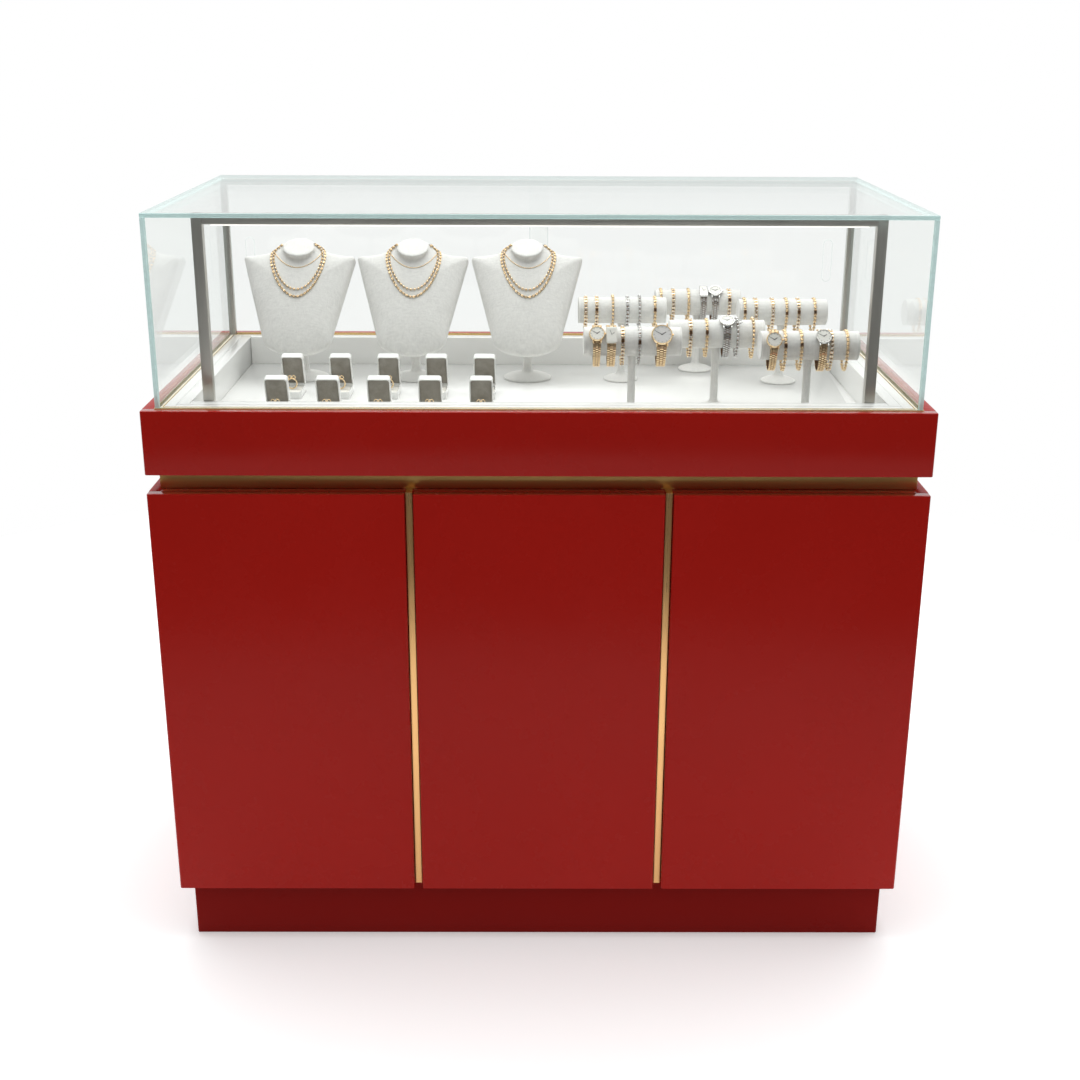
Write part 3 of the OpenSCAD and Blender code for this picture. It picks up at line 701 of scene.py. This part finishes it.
def bustForm():
    bpy.ops.mesh.primitive_uv_sphere_add(segments=160, ring_count=112, radius=1, location=(0, 0, 0))
    chest = bpy.context.object
    outline = bustOutline()
    middle = (0.0, bust["middle"])
    half = bust["thick"] / 2
    reaches = {}
    for vertex in chest.data.vertices:
        x, y, z = vertex.co
        flat = min(1.0, math.hypot(x, y))
        angle = round(math.atan2(y, x), 5)
        if angle not in reaches:
            reaches[angle] = reachTo(outline, middle, angle)
        share = flat
        # fuller at the chest, drawn back towards the foot
        low = share * max(0.0, -math.sin(angle)) if z > 0 else 0.0
        rise = math.copysign(max(0.0, 1 - share ** 4) ** ((0.24 + 0.31 * low) if z > 0 else 0.175), z)
        place = middle[1] + math.sin(angle) * reaches[angle] * share
        tuck = 0.30 * max(0.0, 1 - place / 0.115) ** 1.6 if z > 0 else 0.0
        vertex.co = (math.cos(angle) * reaches[angle] * share, place,
                     half + half * rise * (1 - tuck) + (0.006 * (1 - share * share) if z > 0 else 0.0))
    neck = turned("neck", [(0.040, -0.046), (0.033, -0.036), (0.0285, -0.026), (0.0258, -0.016),
                           (0.0252, -0.010), (0.0264, -0.005), (0.0284, -0.0024), (0.0288, -0.0006),
                           (0.0278, 0.0004)], 96)
    dy, dz = bust["neckMid"][0] - bust["foot"][0], bust["neckMid"][1] - bust["foot"][1]
    lean = math.radians(bust["lean"])
    up = dy * math.sin(lean) + dz * math.cos(lean)
    out = -dy * math.cos(lean) + dz * math.sin(lean)
    normal = Vector((0, math.cos(math.radians(bust["lean"] + bust["neckTilt"])),
                     math.sin(math.radians(bust["lean"] + bust["neckTilt"]))))
    neck.data.transform(frameOf((0, up, out), (1, 0, 0), normal))
    skin = copyAt(chest, Matrix.Identity(4))
    form = joined([chest, neck], "bustForm")
    applyModifier(form, "REMESH", mode="VOXEL", voxel_size=bust["voxel"])
    applyModifier(form, "SMOOTH", factor=0.6, iterations=14)
    # away from the neck the cover is drawn flat onto the chest again
    chestPart = form.vertex_groups.new(name="chestPart")
    for vertex in form.data.vertices:
        away = math.hypot(vertex.co.x, vertex.co.y - up)
        share = min(1.0, max(0.0, (away - bust["neckBlend"][0]) / bust["neckBlend"][1]))
        chestPart.add([vertex.index], share * share * (3 - 2 * share), "REPLACE")
    applyModifier(form, "SHRINKWRAP", target=skin, wrap_method="NEAREST_SURFACEPOINT",
                  vertex_group="chestPart")
    form.vertex_groups.clear()
    applyModifier(form, "SMOOTH", factor=0.5, iterations=5)
    drop(skin)
    form.data.transform(Matrix.Translation((0, bust["foot"][0], bust["foot"][1]))
                        @ Matrix.Rotation(math.radians(90 - bust["lean"]), 4, "X"))
    pick(form)
    bpy.ops.object.shade_smooth()
    return form


def bustStand():
    r = 0.043
    foot = turned("bustFoot", [(r - 0.001, 0), (r, 0.0008), (r, 0.0026), (r - 0.0008, 0.0034),
                               (r * 0.93, 0.0045), (r * 0.75, 0.0075), (r * 0.5, 0.0102),
                               (r * 0.3, 0.0115), (0.0105, 0.0128),
                               (0.0088, 0.0160), (0.0080, 0.0200), (0.0080, 0.1330), (0.0074, 0.1339)], 48)
    foot.data.transform(Matrix.Translation((0, bust["standY"], bust["floor"])))
    smooth(foot, 50)
    return foot


form = bustForm()
stand = bustStand()
dress(form, linenBust)
dress(stand, linenPlain)
forms = [copyAt(form, Matrix.Translation((x + d, 0, 0))) for x, d in zip(bust["places"], bust["shift"])]
stands = [copyAt(stand, Matrix.Translation((x, 0, 0))) for x in bust["places"]]
for i, piece in enumerate(forms):
    piece.name = "necklaceBust%d" % (i + 1)
    hang(piece, "root", "linen")
for i, piece in enumerate(stands):
    piece.name = "bustStand%d" % (i + 1)
    hang(piece, "root", "linen")
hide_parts("bust_forms")
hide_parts("bust_stands")
print("busts made")


# chains

def resample(points, pitch, closed=False):
    points = [Vector(p) for p in points]
    if closed:
        points = points + [points[0]]
    lengths = [(b - a).length for a, b in zip(points, points[1:])]
    total = sum(lengths)
    count = max(2, round(total / pitch))
    steps = count if closed else count + 1
    made, span, walked = [], 0, 0.0
    for i in range(steps):
        goal = total * i / count
        while span < len(lengths) - 1 and walked + lengths[span] < goal:
            walked += lengths[span]
            span += 1
        share = (goal - walked) / max(lengths[span], 1e-9)
        made.append(points[span].lerp(points[span + 1], min(1.0, share)))
    return made


def softened(points, rounds=2, closed=False):
    points = [Vector(p) for p in points]
    for _ in range(rounds):
        last = len(points) - 1
        points = [p if (not closed and i in (0, last))
                  else (points[i - 1] + p * 2 + points[(i + 1) % len(points)]) / 4
                  for i, p in enumerate(points)]
    return points


def linkShape(length, width, wire, mat, sides=5, steps=10):
    bpy.ops.mesh.primitive_torus_add(major_segments=steps, minor_segments=sides, major_radius=1.0,
                                     minor_radius=wire, location=(0, 0, 0))
    link = bpy.context.object
    link.name = "link"
    factor = (length / 2 - wire, width / 2 - wire)
    for vertex in link.data.vertices:
        x, y, z = vertex.co
        flat = math.hypot(x, y)
        vertex.co = (x / flat * (factor[0] + flat - 1), y / flat * (factor[1] + flat - 1), z)
    pick(link)
    bpy.ops.object.shade_smooth()
    dress(link, mat)
    return link


def beadShape(size, mat, segments=8, rings=6, long=1.0):
    bpy.ops.mesh.primitive_uv_sphere_add(segments=segments, ring_count=rings, radius=size / 2,
                                         location=(0, 0, 0))
    bead = bpy.context.object
    bead.name = "bead"
    bead.scale = (long, 1, 1)
    settle(bead)
    bpy.ops.object.shade_smooth()
    dress(bead, mat)
    return bead


def linkAndGapShade(link, size, gap):
    # a link followed by a small dark bead: painted shade in the gap before the next link
    gapShade = beadShape(size, stoneAndGapShadeMetal)
    gapShade.data.transform(Matrix.Translation((gap, 0, 0)))
    return joined([link, gapShade], "linkAndGapShade")


def stations(points, outs, pitch, closed=False):
    # even places along a line, with the outward direction at each
    if closed:
        points, outs = points + points[:1], outs + outs[:1]
    reach = [0.0]
    for a, b in zip(points, points[1:]):
        reach.append(reach[-1] + (b - a).length)
    count = max(2, round(reach[-1] / pitch))
    made, span = [], 0
    for i in range(count if closed else count + 1):
        goal = reach[-1] * i / count
        while span < len(points) - 2 and reach[span + 1] < goal:
            span += 1
        share = (goal - reach[span]) / max(reach[span + 1] - reach[span], 1e-9)
        made.append((points[span].lerp(points[span + 1], share), outs[span].lerp(outs[span + 1], share)))
    return made


def strung(name, shape, line, closed=False, twist=0.0, narrow=0.0):
    # copies of one shape along a line; twist turns every other one, narrow tapers them towards the bottom
    top = max(place.z for place, _ in line)
    bottom = min(place.z for place, _ in line)
    parts = []
    for i, (place, out) in enumerate(line):
        ahead = line[(i + 1) % len(line)] if closed else line[min(i + 1, len(line) - 1)]
        behind = line[i - 1] if closed else line[max(i - 1, 0)]
        turn = Matrix.Rotation(math.radians(twist if i % 2 else 0), 4, "X")
        if narrow:
            turn = turn @ Matrix.Diagonal((1, 1 - narrow * (top - place.z) / (top - bottom), 1, 1))
        parts.append(copyAt(shape, frameOf(place, ahead[0] - behind[0], out) @ turn))
    return joined(parts, name)


# necklaces

necklace = {
    "choker": [(-0.040, 0.182), (-0.034, 0.173), (-0.027, 0.1655), (-0.018, 0.1585), (-0.009, 0.1547),
               (0, 0.1535)],
    "outer": [(-0.031, 0.201), (-0.0405, 0.197), (-0.0462, 0.189), (-0.0478, 0.178), (-0.0470, 0.166),
              (-0.0435, 0.152), (-0.0385, 0.138), (-0.030, 0.121), (-0.019, 0.1075),
              (-0.008, 0.1000), (0, 0.0982)],
    "inner": [(-0.029, 0.199), (-0.0370, 0.195), (-0.0420, 0.187), (-0.0432, 0.177), (-0.0420, 0.166),
              (-0.0385, 0.153), (-0.0335, 0.141), (-0.0250, 0.127), (-0.0155, 0.1172),
              (-0.007, 0.1130), (0, 0.1120)],
}


def onBust(target, shiftX, u, v, lift):
    # a point on the padded form above (u, v) in the bust's own plane
    lean = math.radians(bust["lean"])
    up = Vector((0, math.sin(lean), math.cos(lean)))
    out = Vector((0, -math.cos(lean), math.sin(lean)))
    base = Vector((shiftX + u, bust["foot"][0], bust["foot"][1])) + up * v
    start = base + out * 0.075
    hit, place, normal, _ = target.ray_cast(start, -out)
    if not hit:
        _, place, normal, _ = target.closest_point_on_mesh(base + out * 0.030)
    return place + normal * lift, normal


def drape(target, shiftX, half, lift):
    whole = half + [(-u, v) for u, v in reversed(half[:-1])]
    found = [onBust(target, shiftX, u, v, lift) for u, v in resampleFlat(whole, 0.003)]
    return softened([p for p, _ in found], 2), [n for _, n in found]


def resampleFlat(points, pitch):
    smoothLine = softened(resample([(u, v, 0) for u, v in points], pitch), 3)
    return [(p.x, p.y) for p in smoothLine]


chokerLink = linkAndGapShade(linkShape(0.0034, 0.0018, 0.00045, jewelGold), 0.0010, 0.0020)
ropeLink = linkAndGapShade(linkShape(0.0060, 0.0046, 0.0010, jewelGold), 0.0022, 0.0034)
strandBead = linkAndGapShade(beadShape(0.0042, jewelGold, long=1.1), 0.0018, 0.0034)
for i, x in enumerate(bust["places"]):
    target = forms[i]
    runs = [("choker", chokerLink, 0.0006, 0.0038, 0), ("outer", ropeLink, 0.0014, 0.0068, 25),
            ("inner", strandBead, 0.0016, 0.0068, 0)]
    for run, shape, lift, pitch, twist in runs:
        points, outs = drape(target, x + bust["chainShift"][i], necklace[run], lift)
        piece = strung("necklace%d%s" % (i + 1, run.capitalize()), shape, stations(points, outs, pitch),
                       twist=twist)
        hang(piece, "root", "gold_trim")
drop(chokerLink, ropeLink, strandBead, form, stand)
print("necklaces strung")


# bracelet bars

bar = {
    "spots": ((0.147, 0.133), (0.289, 0.216), (0.428, 0.120),
              (0.148, -0.143), (0.289, -0.080), (0.424, -0.172)),
    "axisZ": 0.994,
    "radius": 0.023,
    "length": 0.155,
    "footR": 0.031,
    "postR": 0.0063,
    "floor": 0.870,
}


def rollShape():
    r, half = bar["radius"], bar["length"] / 2
    rings = [(0.004, -half + 0.0014), (r * 0.6, -half + 0.0010), (r - 0.0030, -half + 0.0003),
             (r - 0.0012, -half), (r - 0.0003, -half + 0.0007), (r - 0.0001, -half + 0.0018),
             (r - 0.0009, -half + 0.0027),
             (r - 0.0004, -half + 0.0042)]
    for step in range(9):
        share = -0.86 + step * 0.215
        rings.append((r - 0.0004 + 0.0004 * (1 - share ** 2), half * share))
    rings += [(radius, -z) for radius, z in reversed(rings[:8])]
    roll = turned("roll", rings, 56)
    roll.data.transform(Matrix.Rotation(math.radians(90), 4, "Y"))
    smooth(roll, 60)
    return roll


def barStand():
    r = bar["footR"]
    top = bar["axisZ"] - bar["radius"] + 0.014 - bar["floor"]
    foot = turned("barFoot", [(r - 0.001, 0), (r, 0.0008), (r, 0.0022), (r - 0.0008, 0.0029),
                              (r * 0.92, 0.0040), (r * 0.72, 0.0066), (r * 0.48, 0.0088),
                              (0.0105, 0.0100), (0.0078, 0.0125),
                              (bar["postR"], 0.0170), (bar["postR"], top - 0.018), (0.0078, top - 0.0155),
                              (0.0078, top)], 48)
    smooth(foot, 50)
    return foot


roll = rollShape()
foot = barStand()
dress(roll, linenPlain)
dress(foot, linenPlain)
rolls, feet = [], []
for i, (x, y) in enumerate(bar["spots"]):
    rolls.append(copyAt(roll, Matrix.Translation((x, y, bar["axisZ"]))))
    rolls[-1].name = "braceletBar%d" % (i + 1)
    feet.append(copyAt(foot, Matrix.Translation((x, y, bar["floor"]))))
    feet[-1].name = "barStand%d" % (i + 1)
for piece in rolls + feet:
    hang(piece, "root", "linen")
for piece in rolls:
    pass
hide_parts("tbar_rolls")
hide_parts("tbar_stands")
drop(roll, foot)
print("bracelet bars made")


# bracelets and watches

def loopPath(lift, dropTo):
    # round the roll's top, then hanging free below it; in the plane across the roll
    r = bar["radius"] + lift
    points = []
    for step in range(-18, 19):
        a = math.radians(step * 5.4)
        points.append((0, -r * math.sin(a), r * math.cos(a)))
    # each side of the free part, as shares of the radius and of the drop
    side = [(0.955, 0.22), (0.86, 0.45), (0.70, 0.68), (0.48, 0.87), (0.22, 0.98)]
    points += [(0, -r * y, -dropTo * z) for y, z in side] + [(0, 0, -dropTo)]
    points += [(0, r * y, -dropTo * z) for y, z in reversed(side)]
    return softened(resample(points, 0.002, True), 2, True)


def loopOuts(points):
    made = []
    for i, p in enumerate(points):
        along = points[(i + 1) % len(points)] - points[i - 1]
        made.append(Vector((1, 0, 0)).cross(along).normalized() * -1)
    return made


def strapRow(width, pitch, mat):
    # one row of a watch bracelet on a dark backing, painted shade in the gaps between its links: a middle
    # link and two side links set half a row back
    parts = []
    for low, high, shift in ((-0.5, -0.2, 0.5), (-0.17, 0.17, 0.0), (0.2, 0.5, 0.5)):
        parts.append(block("row", (pitch * (shift - 0.38), low * width, 0.0004),
                           (pitch * (shift + 0.38), high * width, 0.0021), 0.0005, 2))
        dress(parts[-1], mat)
    # dark backing: painted shade between the links
    back = block("back", (-pitch * 0.52, -0.47 * width, 0.0), (pitch * 0.52, 0.47 * width, 0.0008))
    dress(back, stoneAndGapShadeMetal)
    return joined(parts + [back], "strapRow")


def plateLink(mat):
    # a bracelet link: a bevelled plate with a bright inset, and a dark bead behind it as painted shade in
    # the gap between plates
    plate = block("plate", (-0.0021, -0.0030, 0.0), (0.0021, 0.0030, 0.0019), 0.0006, 2)
    dress(plate, mat)
    inset = block("inset", (-0.0011, -0.0019, 0.0012), (0.0011, 0.0019, 0.0023), 0.0004, 1)
    dress(inset, jewelSilver)
    # dark bead: painted shade between this plate and the next
    bead = beadShape(0.0026, stoneAndGapShadeMetal)
    bead.data.transform(Matrix.Translation((0.0032, 0, 0.0008)))
    return joined([plate, inset, bead], "plateLink")


def watchHead(radius, thick, caseMat, faceMat):
    case = turned("case", [(radius * 0.80, 0), (radius * 0.96, thick * 0.2), (radius, thick * 0.45),
                           (radius * 0.98, thick * 0.75), (radius * 0.93, thick), (radius * 0.88, thick),
                           (radius * 0.86, thick * 0.82)], 40)
    smooth(case, 30)
    dress(case, caseMat)
    dial = turned("dial", [(radius * 0.855, thick * 0.78), (radius * 0.855, thick * 0.84)], 40)
    dress(dial, faceMat)
    parts = [case, dial]
    top = thick * 0.84
    for hour in range(12):
        a = math.radians(hour * 30)
        mark = block("mark", (-0.0003, radius * 0.68, top), (0.0003, radius * 0.80, top + 0.0002))
        mark.data.transform(Matrix.Rotation(a, 4, "Z"))
        dress(mark, inkBlack)
        parts.append(mark)
    for angle, reach, wide in ((-58, 0.42, 0.0005), (62, 0.62, 0.00035)):
        hand = block("hand", (-wide, -radius * 0.1, top + 0.0002), (wide, radius * reach, top + 0.0004))
        hand.data.transform(Matrix.Rotation(math.radians(angle), 4, "Z"))
        dress(hand, inkBlack)
        parts.append(hand)
    crown = turned("crown", [(0.0014, 0), (0.0016, 0.0004), (0.0016, 0.0016), (0.0012, 0.0020)], 16)
    crown.data.transform(frameOf((radius * 0.98, 0, thick * 0.5), (0, 1, 0), (1, 0, 0)))
    dress(crown, caseMat)
    parts.append(crown)
    for sx in (-1, 1):
        for sy in (-1, 1):
            lug = block("lug", (sx * radius * 0.5 - 0.0011, sy * radius * 1.02 - 0.0022, thick * 0.1),
                        (sx * radius * 0.5 + 0.0011, sy * radius * 1.02 + 0.0022, thick * 0.55), 0.0005)
            dress(lug, caseMat)
            parts.append(lug)
    return joined(parts, "watchHead")


def plateHead(width, length, thick, caseMat, faceMat):
    case = block("case", (-width / 2, -length / 2, 0), (width / 2, length / 2, thick), 0.0014, 3)
    smooth(case)
    dress(case, caseMat)
    dial = block("dial", (-width * 0.38, -length * 0.40, thick - 0.0002),
                 (width * 0.38, length * 0.40, thick + 0.0003), 0.0002)
    dress(dial, faceMat)
    parts = [case, dial]
    for angle, reach in ((-50, 0.22), (20, 0.3)):
        hand = block("hand", (-0.0003, 0, thick + 0.0003), (0.0003, length * reach, thick + 0.0005))
        hand.data.transform(Matrix.Rotation(math.radians(angle), 4, "Z"))
        dress(hand, inkBlack)
        parts.append(hand)
    return joined(parts, "plateHead")


def onBar(index, x, angle, lift):
    # place, with Z outward and Y up the front of the roll
    a = math.radians(angle)
    out = Vector((0, -math.sin(a), math.cos(a)))
    spot = bar["spots"][index]
    place = Vector((spot[0] + x, spot[1], bar["axisZ"])) + out * (bar["radius"] + lift)
    return frameOf(place, (1, 0, 0), out)


goods = [
    # bar, x on it, kind, metal, angle of its head or stone
    (0, -0.0646, "plates", "gold", 0), (0, -0.0453, "plates", "gold", 78),
    (0, -0.0169, "beads", "gold", 0), (0, 0.0088, "plates", "silver", 0),
    (0, 0.0302, "beads", "silver", 0), (0, 0.0571, "cable", "gold", 78),
    (1, -0.0675, "cable", "gold", 0), (1, -0.0453, "plates", "gold", 0),
    (1, -0.0176, "cable", "gold", 0), (1, 0.0093, "plate", "silver", 32),
    (1, 0.0303, "watch", "silver", 32), (1, 0.0561, "plates", "gold", 70),
    (2, -0.0678, "cable", "gold", 80), (2, -0.0482, "plates", "gold", 0),
    (2, -0.0189, "plates", "gold", 0), (2, 0.0052, "cable", "gold", 85),
    (2, 0.0263, "plates", "gold", 80), (2, 0.0548, "cable", "gold", 80),
    (3, -0.0571, "watch", "gold", 53), (3, -0.0340, "tablet", "gold", 57),
    (3, -0.0162, "plates", "gold", 76), (3, 0.0106, "cable", "silver", 82),
    (3, 0.0453, "large", "gold", 56), (4, -0.0437, "plates", "gold", 74),
    (4, -0.0173, "cable", "gold", 74), (4, 0.0155, "watch", "silver", 29),
    (4, 0.0324, "charm", "silver", 0), (4, 0.0581, "beads", "gold", 0),
    (5, -0.0580, "watch", "gold", 60), (5, -0.0397, "cable", "gold", 80),
    (5, -0.0145, "cable", "gold", 76), (5, 0.0193, "watch", "both", 48),
    (5, 0.0326, "plates", "gold", 0), (5, 0.0573, "cable", "gold", 0),
]
metals = {"gold": jewelGold, "silver": jewelSilver, "both": jewelGold}
rowSizes = {
    # strap width, pitch of its rows
    "watch": (0.0140, 0.0038),
    "plate": (0.0125, 0.0038),
    "tablet": (0.0160, 0.0040),
    "large": (0.0182, 0.0040),
}
shapes = {}
for metal in ("gold", "silver"):
    for kind, (width, pitch) in rowSizes.items():
        shapes[kind, metal] = strapRow(width, pitch, metals[metal])
    shapes["cable", metal] = linkAndGapShade(linkShape(0.0062, 0.0060, 0.0013, metals[metal]), 0.0026, 0.0033)
    shapes["plates", metal] = plateLink(metals[metal])
    shapes["beads", metal] = linkAndGapShade(beadShape(0.0052, metals[metal]), 0.0024, 0.0033)
    shapes["charm", metal] = shapes["beads", metal]
chains = {
    # lift off the roll, pitch, twist
    "cable": (0.0014, 0.0066, 20),
    "plates": (0.0004, 0.0064, 0),
    "beads": (0.0024, 0.0066, 0),
    "charm": (0.0024, 0.0066, 0),
}


def headFor(kind, metal):
    if kind in ("plate", "tablet"):
        case = jewelSilver if kind == "plate" else dialWhite
        return plateHead(0.0150 if kind == "plate" else 0.0175, 0.0270, 0.0040, case, dialWhite)
    return watchHead(0.0170 if kind == "large" else 0.0127, 0.0052,
                     jewelSilver if metal == "both" else metals[metal],
                     dialGrey if kind == "large" else dialWhite)


def stoneFor():
    stone = block("stone", (-0.0024, -0.0032, 0.0), (0.0024, 0.0032, 0.0032), 0.0007, 2)
    dress(stone, stoneAndGapShadeMetal)
    return stone


def charmLoops():
    # two open wire loops, crossed at the top of the bracelet
    parts = []
    for x, lean in ((-0.0038, 25), (0.0038, -30)):
        ringLoop = linkShape(0.0105, 0.0085, 0.0008, jewelSilver, steps=16)
        ringLoop.data.transform(Matrix.Translation((x, 0.002, 0.0035))
                                @ Matrix.Rotation(math.radians(lean), 4, "Y"))
        parts.append(ringLoop)
    return joined(parts, "charm")


for number, (index, x, kind, metal, angle) in enumerate(goods, 1):
    name = "bracelet%02d" % number
    spot = bar["spots"][index]
    dropTo = 0.0385 + 0.002 * random.uniform(-1, 1)
    base = "gold" if metal == "both" else metal
    shift = Matrix.Translation((spot[0] + x, spot[1], bar["axisZ"]))
    if kind in rowSizes:
        path = loopPath(0.0003, dropTo)
        piece = strung(name, shapes[kind, base], stations(path, loopOuts(path), rowSizes[kind][1], True),
                       closed=True, narrow=0.25)
        extra = headFor(kind, metal)
        lift = 0.0012
    else:
        off, pitch, twist = chains[kind]
        path = loopPath(off, dropTo)
        piece = strung(name, shapes[kind, base], stations(path, loopOuts(path), pitch, True),
                       closed=True, twist=twist)
        extra = stoneFor() if angle else (charmLoops() if kind == "charm" else None)
        lift = 0.0005
    piece.data.transform(shift)
    if extra:
        extra.data.transform(onBar(index, x, angle or 38, lift))
        piece = joined([piece, extra], name)
    hang(piece, "root", "gold_trim" if metal in ("gold", "both") else "steel_frame")
drop(*set(shapes.values()))
print("bracelets and watches hung")


# ring boxes

ringBox = {
    "firstX": -0.421,
    "pitch": 0.082,
    "fronts": (-0.028, -0.197),
    "floor": 0.870,
    "wide": 0.0376,
    "deep": 0.056,
    "high": 0.0122,
    "wall": 0.0018,
    "open": 69.0,
    "slot": (0.0262, 0.0298),
    "cushionTop": 0.0112,
    "pad": 0.0038,
    "hoop": 0.0086,
    "wire": 0.0012,
    "ringZ": 0.0208,
}


def pillow(name, low, high, crown, cuts=7, edge=0.0022):
    # a stuffed block: bulged on top, its sides drawn in between the corners
    piece = block(name, low, high)
    pick(piece)
    bpy.ops.object.mode_set(mode="EDIT")
    bpy.ops.mesh.select_all(action="SELECT")
    bpy.ops.mesh.subdivide(number_cuts=cuts)
    bpy.ops.object.mode_set(mode="OBJECT")
    low, high = Vector(low), Vector(high)
    middle, half = (low + high) / 2, (high - low) / 2
    for vertex in piece.data.vertices:
        a = (vertex.co.x - middle.x) / half.x
        b = (vertex.co.y - middle.y) / half.y
        c = (vertex.co.z - low.z) / (high.z - low.z)
        vertex.co.z += crown * c * ((1 - a ** 4) * (1 - b ** 4) - 1)
        pull = edge * 0.35 * c
        vertex.co.x -= math.copysign(pull * abs(a) ** 3 * (1 - b * b), a)
        vertex.co.y -= math.copysign(pull * abs(b) ** 3 * (1 - a * a), b)
    applyModifier(piece, "BEVEL", width=edge, segments=3, limit_method="ANGLE",
                  angle_limit=math.radians(50))
    pick(piece)
    bpy.ops.object.shade_smooth()
    return piece


def boxCushions():
    side = ringBox["wide"] / 2 - ringBox["wall"] - 0.0003
    near, far = ringBox["wall"] + 0.0003, ringBox["deep"] - ringBox["wall"] - 0.0003
    top, low = ringBox["cushionTop"], 0.0021
    front = pillow("front", (-side, near, low), (side, ringBox["slot"][0] + 0.0006, top), 0.0016)
    rear = pillow("rear", (-side, ringBox["slot"][1] - 0.0006, low), (side, far, top), 0.0016)
    dress(front, boxSatin)
    dress(rear, boxSatin)
    return joined([front, rear], "boxCushion")


def lidMatrix():
    return (Matrix.Translation((0, ringBox["deep"], ringBox["high"] + 0.0003))
            @ Matrix.Rotation(math.radians(-ringBox["open"]), 4, "X"))


def lidPad():
    side = ringBox["wide"] / 2 - ringBox["wall"] - 0.0002
    # stuffed towards the viewer: made face up, then turned over
    pad = pillow("pad", (-side, -ringBox["deep"] + ringBox["wall"] + 0.0002, 0.0001),
                 (side, -ringBox["wall"] - 0.0002, 0.0026), 0.0009, edge=0.0010)
    pad.data.transform(lidMatrix() @ Matrix.Translation((0, 0, ringBox["pad"]))
                       @ Matrix.Scale(-1, 4, (0, 0, 1)))
    outward(pad)
    dress(pad, taupeVelvet)
    return pad


def ringShape():
    bpy.ops.mesh.primitive_torus_add(major_segments=48, minor_segments=12, location=(0, 0, 0),
                                     major_radius=ringBox["hoop"], minor_radius=ringBox["wire"])
    hoop = bpy.context.object
    hoop.data.transform(Matrix.Rotation(math.radians(90), 4, "X"))
    for vertex in hoop.data.vertices:
        vertex.co.y *= 1.0 + 0.5 * max(0.0, vertex.co.z / ringBox["hoop"])
    pick(hoop)
    bpy.ops.object.shade_smooth()
    dress(hoop, jewelGold)
    parts = [hoop]
    # head of the ring: two leaning wire loops beside a claw-set stone
    for side in (-1, 1):
        scroll = linkShape(0.0072, 0.0060, 0.0008, jewelGold, steps=14)
        scroll.data.transform(Matrix.Translation((side * 0.0037, 0, 0.0112))
                              @ Matrix.Rotation(math.radians(side * 28), 4, "Y")
                              @ Matrix.Rotation(math.radians(90), 4, "X"))
        parts.append(scroll)
    seat = turned("seat", [(0.0010, 0.0092), (0.0018, 0.0106), (0.0024, 0.0120), (0.0025, 0.0124)], 16)
    smooth(seat)
    dress(seat, jewelGold)
    stone = turned("stone", [(0.0004, 0.0108), (0.0022, 0.0126), (0.0022, 0.0129), (0.0013, 0.0138)], 12)
    dress(stone, gemStone)
    parts += [seat, stone]
    for k in range(4):
        a = math.radians(45 + 90 * k)
        claw = block("claw", (-0.0004, -0.0004, 0.0108), (0.0004, 0.0004, 0.0135), 0.0002)
        claw.data.transform(Matrix.Translation((0.0022 * math.cos(a), 0.0022 * math.sin(a), 0)))
        dress(claw, jewelGold)
        parts.append(claw)
    return joined(parts, "ring")


cushion = boxCushions()
pad = lidPad()
ring = ringShape()
ringY = sum(ringBox["slot"]) / 2
ring.data.transform(Matrix.Translation((0, ringY, ringBox["ringZ"])))
cushions = []
for row, y in enumerate(ringBox["fronts"]):
    for i in range(5):
        place = Matrix.Translation((ringBox["firstX"] + i * ringBox["pitch"], y, ringBox["floor"]))
        number = row * 5 + i + 1
        cushions.append(copyAt(cushion, place))
        cushions[-1].name = "ringCushion%02d" % number
        hang(cushions[-1], "root", "box_lining")
        lining = copyAt(pad, place)
        lining.name = "lidLining%02d" % number
        hang(lining, "root", "box_lining")
        jewel = copyAt(ring, place)
        jewel.name = "ring%02d" % number
        hang(jewel, "root", "gold_trim")
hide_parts("ring_box_cushions")
drop(cushion, pad, ring)
print("ring boxes filled")


print("done")
